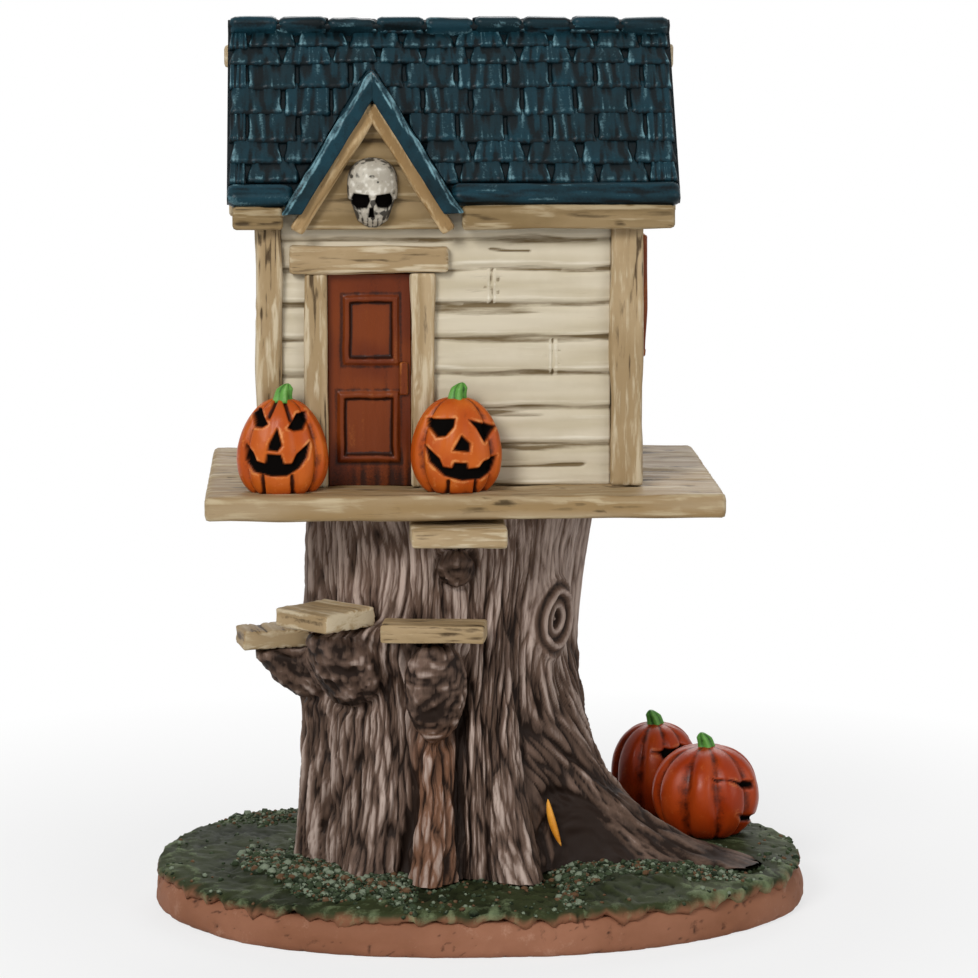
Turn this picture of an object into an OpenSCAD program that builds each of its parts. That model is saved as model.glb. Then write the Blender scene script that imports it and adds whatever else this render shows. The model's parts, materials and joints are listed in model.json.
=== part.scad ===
// Tree house figurine in cast resin: a small boarded house on a deck, carried by an old stump
// with plank steps, on a turfed oval base. Millimetres, +Z up, the front faces -Y.
// The origin is the centre of the base's underside.

/* [Base] */
// Width of the moulded base, left to right
base_w = 131; // [124:1:150]
// Depth of the moulded base, front to back
base_d = 93; // [88:1:110]
// Height of the bare side band of the base
plinth_h = 7; // [5:0.5:10]
// Thickness of the turf on the base
turf_h = 3; // [2:0.5:5]

/* [Trunk] */
// Offset of the trunk's axis from the centre of the base, to the right
trunk_x = -6; // [-10:0.5:0]
// Width of the trunk under the deck
trunk_w = 58; // [52:1:62]
// Depth of the trunk under the deck
trunk_d = 48; // [44:1:54]
// Height of the trunk from turf to deck
trunk_h = 72.6; // [66:0.2:84]
// How far the trunk swells at its foot, all round
foot_flare = 1.5; // [0:0.1:3]
// Depth of the flutes in the bark
flute_depth = 0.9; // [0.3:0.1:1.5]
// How far the great right-hand root runs out past the trunk
root_reach = 35; // [26:1:38]
// How far the trunk draws in at its waist, on the right
waist_d = 4.2; // [0:0.2:5]
// Depth of the hollow between the front roots
hollow_d = 3; // [1:0.5:4]
// Thickness of the amber sliver in the hollow
light_t = 0.8; // [0.5:0.1:1.2]

/* [Steps] */
// Thickness of a step plank
step_t = 3.7; // [2.5:0.1:5]
// Gap between a plank's underside and its branch stub
step_seat = 0.3; // [0.28:0.02:0.4]
// Height of the far left plank's underside above the turf
step_far_left_h = 43.8; // [40:0.2:46]
// Height of the left plank's underside above the turf
step_left_h = 50.4; // [48:0.2:54]
// Height of the centre plank's underside above the turf
step_centre_h = 48.4; // [46:0.2:52]
// Drop from the deck's underside to the top plank
step_top_drop = 1.1; // [0.4:0.1:4]
// Length of the far left plank along the bark
step_far_left_w = 8; // [6:0.5:10]
// Reach of the far left plank out from the bark
step_far_left_d = 13.5; // [10:0.5:16]
// Length of the left plank along the bark
step_left_w = 14; // [11:0.5:16]
// Reach of the left plank out from the bark
step_left_d = 13.5; // [11:0.5:15]
// Length of the centre plank along the bark
step_centre_w = 20; // [16:0.5:24]
// Reach of the centre plank out from the bark
step_centre_d = 8; // [6:0.5:10]
// Length of the top plank along the bark
step_top_w = 18.2; // [14:0.5:22]
// Reach of the top plank out from the bark
step_top_d = 12; // [9:0.5:14]

/* [Deck] */
// Width of the deck
deck_w = 99.4; // [92:0.2:110]
// Depth of the porch, from the front wall to the deck's front edge
porch_d = 12.6; // [11.5:0.1:16]
// Depth of the deck behind the back wall
deck_back_d = 11; // [8:0.5:16]
// Thickness of the deck
deck_t = 4.8; // [3.5:0.1:6]

/* [House] */
// Width over the outer faces of the side walls
house_w = 72; // [66:0.5:80]
// Depth over the outer faces of the front and back walls
house_d = 42.8; // [40:0.2:46]
// Thickness of the walls
wall_t = 3; // [2:0.1:4]
// Width of the two left corner posts
post_left_w = 4.8; // [4:0.1:6]
// Width of the two right corner posts
post_right_w = 6.2; // [4:0.1:7]
// How far the posts stand proud of the front and back walls
post_proud = 2; // [1.4:0.1:2.6]
// How far the posts stand proud of the side walls
post_side = 1.1; // [0.6:0.1:1.6]

/* [Door] */
// Offset of the door's centre from the house's centre, to the right
door_x = -15.5; // [-17:0.5:-13]
// Width of the door
door_w = 16; // [13:0.2:18]
// Height of the door
door_h = 41.2; // [36:0.2:43]
// Thickness of the door
door_t = 2; // [1.4:0.1:2.4]
// Width of a door jamb
jamb_w = 4.5; // [3.5:0.1:5]
// Thickness of the jambs in front of the wall
jamb_t = 1.6; // [1:0.1:1.8]
// Length of the lintel over the door
lintel_w = 30.4; // [28:0.2:33]
// Height of the lintel
lintel_h = 5.2; // [4:0.1:6]
// Length of the door handle
handle_h = 6.4; // [4:0.1:8]

/* [Window] */
// Width of the window opening in the right wall
window_w = 14; // [10:0.2:18]
// Height of the window opening
window_h = 20.6; // [16:0.2:23]
// Height of the opening's sill above the deck
sill_h = 25; // [20:0.2:27]
// Width of the window frame's face
frame_w = 1.7; // [1:0.1:2.5]
// How far the frame stands out of the wall
frame_proud = 3; // [1.5:0.1:4]

/* [Roof] */
// Height of the eaves above the deck
eave_h = 53.6; // [52:0.2:60]
// Height of the ridge above the deck
ridge_h = 89.6; // [86:0.2:100]
// How far the roof runs out past the left posts
roof_over_left = 5.3; // [3.5:0.1:8]
// How far the roof runs out past the right posts
roof_over_right = 6.7; // [3.5:0.1:8]
// How far the eaves run out past the front and back walls
eave_over = 6.1; // [5.4:0.1:8]
// Thickness of a roof slope
roof_t = 2.8; // [2:0.1:3.4]
// Height of the lip at the eaves
eave_lip = 2.4; // [1.5:0.1:3]
// Height of the tan boards under the eaves
eave_board_h = 3.7; // [3:0.1:4]
// How far the ridge beam's ends stand out past the roof
beam_proud = 0.8; // [0.4:0.1:1.5]

/* [Gable] */
// Offset of the cross gable from the house's centre, to the right
gable_x = -14.8; // [-15:0.2:-12]
// Width of the cross gable at the eaves
gable_w = 34.4; // [32:0.2:36]
// Height of the gable's peak above the deck
gable_h = 81; // [78:0.2:84]
// Thickness of the gable's roof slopes
gable_roof_t = 3.4; // [2.6:0.1:3.8]
// Width of the tan boards under the gable's slopes
rake_w = 2.4; // [1.6:0.1:3]
// Height of the skull on the gable
skull_h = 13.4; // [10:0.2:14]
// Width of the skull
skull_w = 9.6; // [8:0.2:11]

/* [Pumpkins] */
// Width of a porch pumpkin
porch_pumpkin_w = 17.2; // [14:0.2:18]
// Height of a porch pumpkin without its stem
porch_pumpkin_h = 18; // [14:0.2:20]
// Width of the front pumpkin on the ground
front_pumpkin_w = 22; // [18:0.5:23]
// Height of the front pumpkin on the ground
front_pumpkin_h = 18; // [14:0.5:20]
// Width of the back pumpkin on the ground
back_pumpkin_w = 18.4; // [15:0.2:19]
// Height of the back pumpkin on the ground
back_pumpkin_h = 19; // [15:0.5:20]
// Height of a pumpkin's stem
stem_h = 3.2; // [2:0.1:4]
// Depth of the carved faces
carve_depth = 0.9; // [0.5:0.1:1.2]
// Place of the front pumpkin, to the right of the base's centre
front_pumpkin_x = 47; // [45:0.5:50]
// Place of the front pumpkin, behind the base's centre
front_pumpkin_y = 10.5; // [8:0.5:11]
// Place of the back pumpkin, to the right of the base's centre
back_pumpkin_x = 38.2; // [36:0.2:40]
// Place of the back pumpkin, behind the base's centre
back_pumpkin_y = 27.8; // [27:0.2:30]

/* [Hidden] */
$fn = 48;

// Clearance between pieces that are set into or against each other
fit = 0.05;
// A length that reaches past any face it cuts
past = 1;

// Heights that the pieces share
turf_top = plinth_h + turf_h;
deck_bottom = turf_top + trunk_h;
deck_top = deck_bottom + deck_t;
eave_z = deck_top + eave_h;
ridge_z = deck_top + ridge_h;
gable_z = deck_top + gable_h;

// Centres of the deck and the house
deck_x = trunk_x + 2;
house_x = trunk_x - 0.6;
house_left = house_x - house_w / 2;
house_right = house_x + house_w / 2;
house_front = -house_d / 2;
house_back = house_d / 2;
post_front = house_front - post_proud;
post_d = post_proud + wall_t;
post_left_edge = house_left - post_side;
post_right_edge = house_right + post_side;
wall_left = post_left_edge + post_left_w;
wall_right = post_right_edge - post_right_w;

// The roof's slope, and its underside at a distance from the ridge
roof_run = house_d / 2 + eave_over;
roof_slope = (ridge_z - eave_z - eave_lip) / roof_run;
roof_drop = roof_t * sqrt(1 + roof_slope * roof_slope);
function roof_under(y) = ridge_z - roof_drop - roof_slope * abs(y);
soffit_run = (ridge_z - roof_drop - eave_z) / roof_slope;
wall_top = roof_under(house_front) - fit;
post_top = roof_under(post_front) - fit;

// The cross gable's outline
gable_cx = house_x + gable_x;
gable_half = gable_w / 2;
gable_front = -roof_run;
gable_slope = (gable_z - eave_z) / gable_half;
gable_drop = gable_roof_t * sqrt(1 + gable_slope * gable_slope);
rake_drop = rake_w * sqrt(1 + gable_slope * gable_slope);
gable_wall_t = 2.6;
gable_wall_front = house_front - gable_wall_t;
gable_wall_bottom = eave_z - eave_board_h;

// The door's surround
door_cx = house_x + door_x;
lintel_bottom = deck_top + door_h + 0.2;

resin_tan = "#ab9672";
resin_cream = "#cfc5a8";
resin_teal = "#1d3f4c";
resin_russet = "#7c3a1c";
resin_orange = "#d8642a";
stem_green = "#4f8a35";

// A difference of two angles, from -180 to 180
function turned(a) = a - 360 * round(a / 360);
// A bell-shaped bump, 1 at the middle
function bump(d, width) = exp(-pow(d / width, 2));
// A list of numbers in rising order
function sorted(v) = len(v) < 2 ? v : let (
    p = v[0],
    rest = [for (i = [1:1:len(v) - 1]) v[i]]
) concat(
    sorted([for (x = rest) if (x < p) x]), [p],
    sorted([for (x = rest) if (x >= p) x])
);

// A closed solid through rings of equally many points, lowest ring first, each ring anticlockwise
module loft(rings) {
    n = len(rings[0]);
    m = len(rings);
    sides = [
        for (j = [0:m - 2], i = [0:n - 1])
            let (k = (i + 1) % n)
                each [[j * n + i, (j + 1) * n + k, j * n + k], [j * n + i, (j + 1) * n + i, (j + 1) * n + k]]
    ];
    foot = [for (i = [0:n - 1]) i];
    head = [for (i = [n - 1:-1:0]) (m - 1) * n + i];
    polyhedron([for (r = rings) each r], concat(sides, [foot], [head]));
}

// The irregular oval of the base, inset from its widest line
base_sides = 72;
function oval_swell(a) = 1 + 0.03 * pow(sin(2 * a), 2) * (1 + 0.7 * sin(3 * a + 40));
function base_ring(z, inset) = [
    for (i = [0:base_sides - 1])
        let (a = i * 360 / base_sides)
            [(base_w / 2 - inset) * cos(a) * oval_swell(a), (base_d / 2 - inset) * sin(a) * oval_swell(a), z]
];

module base_plinth() {
    color("#b5765c") loft([
        base_ring(0, 0.9),
        base_ring(plinth_h * 0.15, 0.1),
        base_ring(plinth_h * 0.55, 0),
        base_ring(plinth_h, 1.1)
    ]);
}

module turf() {
    color("#3c4a2c") loft([
        base_ring(plinth_h, 1.1),
        base_ring(plinth_h + turf_h * 0.35, 0.4),
        base_ring(plinth_h + turf_h * 0.75, 1),
        base_ring(turf_top, 3.2)
    ]);
}

// Roots: angle about the trunk, reach past the trunk, half spread in degrees, rise up the trunk
ROOTS = [
    [-15, root_reach, 13, 9.5],
    [-64, 7.5, 11, 15],
    [-99, 6.5, 9, 17],
    [-127, 5, 11, 13],
    [-163, 1.5, 13, 13],
    [131, 8, 13, 12],
    [82, 9, 12, 11],
    [32, 12, 13, 11]
];

// Branch stubs under the steps: angle, reach, half width in degrees, drop below the plank
FAR_LEFT_STUB = [-166, 11, 12, 11];
LEFT_STUB = [-137, 10.5, 17, 16];
CENTRE_STUB = [-98, 6.2, 14, 20];
TOP_STUB = [-89, 8, 10, 9];

far_left_z = turf_top + step_far_left_h;
left_z = turf_top + step_left_h;
centre_z = turf_top + step_centre_h;
top_z = deck_bottom - step_top_drop - step_t;

// A stub swells from the bark up to a flat head, where its plank lies
stub_head = 0.2;
function stub(a, z, form, head_z) =
    let (u = (head_z - step_seat - z) / form[3])
        u < 0 || u > 1 ? 0 : form[1] * bump(turned(a - form[0]), form[2]) * pow(1 - u, 0.8);

// The oval knot on the right of the trunk: a raised ring round a dimple
knot_angle = -36;
knot_up = 49.7;
function knot(a, z) =
    let (d = norm([turned(a - knot_angle) / 11, (z - turf_top - knot_up) / 8]))
        1.5 * bump(d - 0.75, 0.4) - 0.6 * bump(d, 0.35);

// The hollow between the front roots
hollow_angle = -38;
hollow_up = 7;

// The trunk's plain oval, before bark, roots and stubs
function trunk_oval(a) = 1 / norm([cos(a) / (trunk_w / 2), sin(a) / (trunk_d / 2)]);
function trunk_bark(a, z) =
    flute_depth * (0.6 * cos(11 * a + 45 * sin(2 * z)) + 0.4 * cos(18 * a - 35 * sin(3 * z) + 60));
function trunk_roots(a, z) =
    let (parts = [for (r = ROOTS) r[1] * bump(turned(a - r[0]), r[2]) * exp((turf_top - z) / r[3])])
        parts * [for (p = parts) 1];
function trunk_radius(a, z) =
    trunk_oval(a)
    + trunk_bark(a, z)
    + trunk_roots(a, z)
    + foot_flare * exp((turf_top - z) / 20)
    - waist_d * (1 + cos(a)) / 2 * sin(180 * (z - turf_top) / trunk_h)
    - hollow_d * bump(turned(a - hollow_angle), 7) * bump(z - turf_top - hollow_up, 9)
    + knot(a, z)
    + stub(a, z, FAR_LEFT_STUB, far_left_z)
    + stub(a, z, LEFT_STUB, left_z)
    + stub(a, z, CENTRE_STUB, centre_z)
    + stub(a, z, TOP_STUB, top_z);
function trunk_point(a, z, out) =
    let (r = trunk_radius(a, z) + out) [trunk_x + r * cos(a), r * sin(a), z];

// Ring heights: close together at the roots, with a pair at each stub's flat head
trunk_sides = 96;
root_rings = 22;
trunk_levels = sorted(concat(
    [for (i = [0:root_rings]) turf_top + trunk_h * pow(i / root_rings, 1.5)],
    [for (z = [far_left_z, left_z, centre_z, top_z], e = [0, stub_head]) z - step_seat + e]
));

module trunk() {
    color("#6e5d52") loft([
        for (z = trunk_levels)
            [for (i = [0:trunk_sides - 1]) trunk_point(i * 360 / trunk_sides, z, 0)]
    ]);
}

// The amber sliver lies on the bark of the hollow, on the same grid of points
light_low = 3;
light_high = 14;
module root_light() {
    pitch = 360 / trunk_sides;
    first = floor(hollow_angle / pitch) - 1;
    angles = [for (i = [0:2]) (first + i) * pitch];
    levels = [for (z = trunk_levels) if (z > turf_top + light_low && z < turf_top + light_high) z];
    color("#e8a030") loft([
        for (z = levels)
            concat(
                [for (a = angles) trunk_point(a, z, fit + light_t)],
                [for (i = [2:-1:0]) trunk_point(angles[i], z, fit)]
            )
    ]);
}

// A plank with worn edges: long along X, its back edge on Y = 0, its underside on Z = 0
module plank(w, d, t) {
    worn = t * 0.18;
    translate([-w / 2, 0, 0]) rotate([90, 0, 90]) linear_extrude(w) polygon([
        [0, 0], [-d + worn, 0], [-d, worn], [-d, t - worn], [-d + worn, t], [0, t]
    ]);
}

// A plank set against the bark over its stub
module step_plank(form, head_z, w, d) {
    a = form[0];
    seat = trunk_oval(a) + flute_depth + 2 * fit;
    color(resin_tan)
        translate([trunk_x + seat * cos(a), seat * sin(a), head_z]) rotate(a + 90) plank(w, d, step_t);
}

module step_far_left() { step_plank(FAR_LEFT_STUB, far_left_z, step_far_left_w, step_far_left_d); }
module step_left() { step_plank(LEFT_STUB, left_z, step_left_w, step_left_d); }
module step_centre() { step_plank(CENTRE_STUB, centre_z, step_centre_w, step_centre_d); }
module step_top() { step_plank(TOP_STUB, top_z, step_top_w, step_top_d); }

module deck() {
    corner = 1.2;
    x0 = deck_x - deck_w / 2;
    x1 = deck_x + deck_w / 2;
    y0 = house_front - porch_d;
    y1 = house_back + deck_back_d;
    color(resin_tan) translate([0, 0, deck_bottom]) linear_extrude(deck_t) polygon([
        [x0 + corner, y0], [x1 - corner, y0], [x1, y0 + corner], [x1, y1 - corner],
        [x1 - corner, y1], [x0 + corner, y1], [x0, y1 - corner], [x0, y0 + corner]
    ]);
}

// A box between two corners
module block(low, high) { translate(low) cube(high - low); }

module front_wall() {
    color(resin_cream) difference() {
        block([wall_left, house_front, deck_top], [wall_right, house_front + wall_t, wall_top]);
        block(
            [door_cx - door_w / 2, house_front - past, deck_top - past],
            [door_cx + door_w / 2, house_front + wall_t + past, deck_top + door_h]
        );
    }
}

module back_wall() {
    color(resin_cream)
        block([wall_left, house_back - wall_t, deck_top], [wall_right, house_back, wall_top]);
}

// The ridge beam's outline, seen from the end, with room round it where it passes a wall
beam_w = 5;
beam_h = 5.4;
module beam_outline(room) {
    top = roof_under(0) - fit + room;
    shoulder = roof_under(beam_w / 2) - fit + room;
    half = beam_w / 2 + room;
    foot = roof_under(0) - beam_h - room;
    polygon([[-half, foot], [half, foot], [half, shoulder], [0, top], [-half, shoulder]]);
}

// An end wall: between the posts, then up under the slopes to the ridge beam
module end_wall(x) {
    y0 = house_front + wall_t;
    translate([x, 0, 0]) rotate([90, 0, 90]) linear_extrude(wall_t) difference() {
        polygon([
            [y0, deck_top], [-y0, deck_top], [-y0, roof_under(y0) - fit],
            [0, roof_under(0) - fit], [y0, roof_under(y0) - fit]
        ]);
        beam_outline(fit);
    }
}

module left_wall() { color(resin_cream) end_wall(house_left); }

window_bottom = deck_top + sill_h;
module right_wall() {
    color(resin_cream) difference() {
        end_wall(house_right - wall_t);
        block(
            [house_right - wall_t - past, -window_w / 2, window_bottom],
            [house_right + past, window_w / 2, window_bottom + window_h]
        );
    }
}

// A corner post that stands proud of both its walls
module corner_post(x0, x1) {
    color(resin_tan) block([x0, post_front, deck_top], [x1, post_front + post_d, post_top]);
}

module post_front_left() { corner_post(post_left_edge, wall_left); }
module post_front_right() { corner_post(wall_right, post_right_edge); }
module post_back_left() { mirror([0, 1, 0]) corner_post(post_left_edge, wall_left); }
module post_back_right() { mirror([0, 1, 0]) corner_post(wall_right, post_right_edge); }

module door() {
    rim = 1;
    relief = 0.5;
    stile = 2.6;
    panel_w = door_w - 2 * stile;
    panel_h = door_h * 0.31;
    face = house_front + 0.4;
    module panel(z) {
        difference() {
            block([-panel_w / 2, face - relief, z], [panel_w / 2, face + relief, z + panel_h]);
            block(
                [rim - panel_w / 2, face - past, z + rim],
                [panel_w / 2 - rim, face + past, z + panel_h - rim]
            );
        }
    }
    color(resin_russet) translate([door_cx, 0, deck_top]) {
        block([fit - door_w / 2, face, 0], [door_w / 2 - fit, face + door_t, door_h - fit]);
        panel(door_h * 0.13);
        panel(door_h * 0.58);
    }
}

module door_handle() {
    r = 0.8;
    x = door_cx + door_w / 2 - 1.4;
    face = house_front + 0.4;
    color("#5b2a16") translate([x, face, deck_top + door_h * 0.43]) linear_extrude(handle_h) intersection() {
        circle(r);
        translate([-r, -r]) square([2 * r, r]);
    }
}

module jamb(x) {
    color(resin_tan) block(
        [x, house_front - jamb_t, deck_top],
        [x + jamb_w, house_front, lintel_bottom]
    );
}

module jamb_left() { jamb(door_cx - door_w / 2 - jamb_w); }
module jamb_right() { jamb(door_cx + door_w / 2); }

module lintel() {
    flare = 1;
    half = lintel_w / 2;
    color(resin_tan) translate([door_cx, house_front, lintel_bottom]) rotate([90, 0, 0])
        linear_extrude(jamb_t + 0.5) polygon([
            [flare - half, 0], [half - flare, 0], [half, lintel_h], [-half, lintel_h]
        ]);
}

module window_frame() {
    half = window_w / 2;
    color(resin_russet) difference() {
        block(
            [house_right, -half - frame_w, window_bottom - frame_w],
            [house_right + frame_proud, half + frame_w, window_bottom + window_h + frame_w]
        );
        block(
            [house_right - past, -half, window_bottom],
            [house_right + frame_proud + past, half, window_bottom + window_h]
        );
    }
}

module window_pane() {
    pane_t = 1;
    half = window_w / 2 - fit;
    color("#d9a24a") block(
        [house_right - pane_t, -half, window_bottom + fit],
        [house_right, half, window_bottom + window_h - fit]
    );
}

// One slope of the main roof, seen from the end, from the ridge to the front eave
module slope_outline() {
    polygon([
        [0, ridge_z], [-roof_run, eave_z + eave_lip], [-roof_run, eave_z], [-soffit_run, eave_z],
        [0, ridge_z - roof_drop]
    ]);
}

module along_roof(x0, x1) { translate([x0, 0, 0]) rotate([90, 0, 90]) linear_extrude(x1 - x0) children(); }

roof_left = post_left_edge - roof_over_left;
roof_right = post_right_edge + roof_over_right;

// The gable's outer outline seen from the front, carried down past the eaves
module gable_outline() {
    polygon([
        [0, gable_z], [gable_half, eave_z], [gable_half, deck_top],
        [-gable_half, deck_top], [-gable_half, eave_z]
    ]);
}

module roof_front() {
    color(resin_teal) difference() {
        along_roof(roof_left, roof_right) slope_outline();
        translate([gable_cx, 0, 0]) rotate([90, 0, 0]) linear_extrude(2 * roof_run) gable_outline();
    }
}

module roof_back() {
    color(resin_teal) mirror([0, 1, 0]) along_roof(roof_left, roof_right) slope_outline();
}

module ridge_beam() {
    color(resin_tan) along_roof(roof_left - beam_proud, roof_right + beam_proud) beam_outline(0);
}

// A tan board under an eave, set against the posts
module eave_board(x0, x1) {
    slant = 1.5;
    color(resin_tan) translate([0, post_front - fit, eave_z - eave_board_h]) rotate([90, 0, 0])
        linear_extrude(roof_run + post_front - 1) polygon([
            [x0 + slant, 0], [x1 - slant, 0], [x1, eave_board_h - fit], [x0, eave_board_h - fit]
        ]);
}

module eave_boards_front() {
    eave_board(roof_left + 1, gable_cx - gable_half);
    eave_board(gable_cx + gable_half, roof_right - 1);
}

module eave_board_back() { mirror([0, 1, 0]) eave_board(roof_left + 1, roof_right - 1); }

// The pair of boards that follow the roof's slopes at one end, under its overhang
module rake_boards(x) {
    board_t = 1.6;
    drop = 4;
    foot = roof_run - 5;
    color(resin_tan) along_roof(x, x + board_t) difference() {
        polygon([
            [0, roof_under(0) - fit], [-foot, roof_under(foot) - fit], [-foot, roof_under(foot) - fit - drop],
            [0, roof_under(0) - fit - drop], [foot, roof_under(foot) - fit - drop],
            [foot, roof_under(foot) - fit]
        ]);
        beam_outline(fit);
    }
}

module rake_boards_left() { rake_boards(roof_left + 0.4); }
module rake_boards_right() { rake_boards(roof_right - 2); }

// Height of a line that runs below the gable's outline, at a distance from its peak
function gable_line(x, drop) = gable_z - drop - gable_slope * x;
function gable_reach(z, drop) = (gable_z - drop - z) / gable_slope;

module along_gable(front, back) {
    translate([gable_cx, back, 0]) rotate([90, 0, 0]) linear_extrude(back - front) children();
}

// The right slope of the gable: it runs back to the valley and stops at the main roof's underside
module gable_roof_right() {
    edge = gable_half - fit;
    foot = eave_z - 0.5;
    color(resin_teal) difference() {
        along_gable(gable_front, 0) polygon([
            [0, gable_z - fit], [edge, gable_line(edge, fit)], [edge, foot],
            [gable_reach(foot, gable_drop), foot], [0, gable_z - gable_drop]
        ]);
        deep = 2 * roof_run;
        along_roof(roof_left, roof_right) polygon([
            [past, roof_under(0)], [0, roof_under(0)], [-deep, roof_under(deep)], [past, roof_under(deep)]
        ]);
    }
}

module across_gable() { translate([2 * gable_cx, 0, 0]) mirror([1, 0, 0]) children(); }

module gable_roof_left() { across_gable() gable_roof_right(); }

module gable_rake_right() {
    under = gable_drop + fit;
    foot = gable_wall_bottom;
    color(resin_tan) along_gable(gable_front + 1.2, gable_wall_front) polygon([
        [0, gable_z - under], [gable_reach(foot, under), foot], [gable_reach(foot, under + rake_drop), foot],
        [0, gable_z - under - rake_drop]
    ]);
}

module gable_rake_left() { across_gable() gable_rake_right(); }

module gable_wall() {
    peak = gable_z - gable_drop;
    half = (peak - gable_wall_bottom) / gable_slope;
    color("#b3a588") translate([gable_cx, house_front, 0]) rotate([90, 0, 0]) linear_extrude(gable_wall_t)
        polygon([[0, peak], [half, gable_wall_bottom], [-half, gable_wall_bottom]]);
}

// A half-round skull with a flat back: rings of front half ovals from chin to crown, with its
// two eye sockets and the nose hollow sunk into the face
skull_d = 4;
module skull() {
    sides = 16;
    levels = 14;
    socket_r = skull_w * 0.16;
    eye_z = skull_h * 0.44;
    function breadth(v) = v < 0.42 ? 0.44 + 1.15 * v : sqrt(max(0.08, 1 - pow((v - 0.6) / 0.4, 4)));
    color("#e6e2d6") translate([gable_cx, gable_wall_front - fit, gable_wall_bottom + 0.3]) difference() {
        loft([
            for (j = [0:levels])
                let (v = j / levels, b = breadth(v))
                    [for (i = [0:sides]) [
                        skull_w / 2 * b * -cos(180 * i / sides),
                        -skull_d * b * sin(180 * i / sides),
                        skull_h * v
                    ]]
        ]);
        for (side = [-1, 1])
            translate([side * skull_w * 0.23, -skull_d * 0.95, eye_z]) sphere(socket_r);
        translate([0, -skull_d, eye_z - socket_r * 2.1]) rotate([90, 0, 0])
            cylinder(h = skull_d / 2, r1 = socket_r * 0.7, r2 = socket_r * 0.7, center = true);
    }
}

// Slant of a pumpkin's side at a share of its height, and how wide it is there
FOOT_SLANT = -58;
CROWN_SLANT = 84;
function slant(v) = asin(sin(FOOT_SLANT) + v * (sin(CROWN_SLANT) - sin(FOOT_SLANT)));
function girth(v, bell) = pow(cos(slant(v)), 0.8) * (1 + bell * (0.5 - v));
function mean(points) = [for (point = points) 1 / len(points)] * points;
function both_sides(shape) = [shape, [for (i = [len(shape) - 1:-1:0]) [-shape[i][0], shape[i][1]]]];

// Carved faces: outlines in shares of half the width across and of the height up
ANGRY_FACE = [
    [[-0.56, 0.72], [-0.42, 0.71], [-0.28, 0.755], [-0.42, 0.87], [-0.58, 0.86]],
    [[0.13, 0.72], [0.27, 0.68], [0.5, 0.7], [0.52, 0.85], [0.33, 0.85]],
    [[-0.32, 0.49], [-0.1, 0.48], [0, 0.54], [-0.1, 0.72]],
    [[-0.8, 0.37], [-0.64, 0.255], [-0.36, 0.21], [-0.36, 0.35], [-0.57, 0.36], [-0.64, 0.46], [-0.81, 0.55]],
    [[-0.38, 0.21], [0.12, 0.215], [0.12, 0.35], [0.04, 0.35], [-0.02, 0.445], [-0.35, 0.45], [-0.38, 0.35]],
    [[0.1, 0.215], [0.38, 0.29], [0.55, 0.41], [0.62, 0.565], [0.33, 0.45], [0.22, 0.35], [0.1, 0.35]]
];
MERRY_FACE = [
    [[-0.47, 0.61], [-0.27, 0.62], [-0.08, 0.72], [-0.05, 0.8], [-0.62, 0.79], [-0.62, 0.71]],
    [[0.62, 0.55], [0.84, 0.69], [0.25, 0.79], [0.43, 0.7]],
    [[-0.1, 0.48], [0.27, 0.455], [0.29, 0.545], [0.09, 0.63]],
    [[-0.64, 0.35], [-0.3, 0.2], [-0.12, 0.17], [-0.12, 0.29], [-0.33, 0.3], [-0.41, 0.39], [-0.72, 0.52]],
    [[-0.14, 0.175], [0.3, 0.15], [0.3, 0.28], [0.24, 0.28], [0.22, 0.34], [-0.08, 0.35], [-0.14, 0.29]],
    [[0.28, 0.15], [0.51, 0.16], [0.76, 0.23], [0.86, 0.39], [0.59, 0.355], [0.49, 0.29], [0.28, 0.28]]
];
SLY_FACE = concat(
    both_sides([[-0.85, 0.595], [-0.6, 0.6], [-0.44, 0.74], [-0.67, 0.63], [-0.86, 0.64]]),
    both_sides([[-0.55, 0.19], [-0.28, 0.16], [-0.28, 0.23], [-0.52, 0.26], [-0.8, 0.31]])
);
SLOT_FACE = both_sides([[-0.84, 0.66], [-0.54, 0.64], [-0.26, 0.715], [-0.37, 0.76], [-0.85, 0.715]]);

// The block that cuts one outline of a face square into the rind
module carving(w, d, h, bell, look, shape) {
    centre = mean(shape);
    r = girth(centre[1], bell);
    aside = asin(centre[0] / r);
    a = look + aside;
    facing = atan2(w * sin(a), d * cos(a));
    stretch = w / 2 / cos(aside);
    translate([w / 2 * r * cos(a), d / 2 * r * sin(a), h * centre[1]]) rotate(facing + 90)
        translate([0, carve_depth, 0]) rotate([90, 0, 0]) linear_extrude(carve_depth + 4)
            polygon([for (spot = shape) [(spot[0] - centre[0]) * stretch, (spot[1] - centre[1]) * h]]);
}

// A ribbed pumpkin: rings from a flat foot to a small flat crown, cut flat behind at back_y, with its
// face carved where it looks
module pumpkin(w, d, h, ribs, bell, back_y, look, face) {
    sides = ribs * 4;
    levels = 11;
    function ring(j) =
        let (
            p = FOOT_SLANT + (CROWN_SLANT - FOOT_SLANT) * j / levels,
            v = (sin(p) - sin(FOOT_SLANT)) / (sin(CROWN_SLANT) - sin(FOOT_SLANT)),
            r = girth(v, bell)
        )
            [for (i = [0:sides - 1])
                let (a = i * 360 / sides, rib = 1 - 0.09 * pow(cos(ribs * a / 2), 6))
                    [w / 2 * r * rib * cos(a), min(d / 2 * r * rib * sin(a), back_y), h * v]];
    color(resin_orange) difference() {
        loft([for (j = [0:levels]) ring(j)]);
        for (shape = face) carving(w, d, h, bell, look, shape);
    }
}

// A short bent stem on a pumpkin's crown
module pumpkin_stem(r, lean) {
    sides = 8;
    levels = 4;
    color(stem_green) loft([
        for (j = [0:levels])
            let (v = j / levels, s = r * (1 - 0.45 * v))
                [for (i = [0:sides - 1])
                    [s * cos(45 * i) + lean * v * v, s * sin(45 * i), stem_h * v]]
    ]);
}

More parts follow.
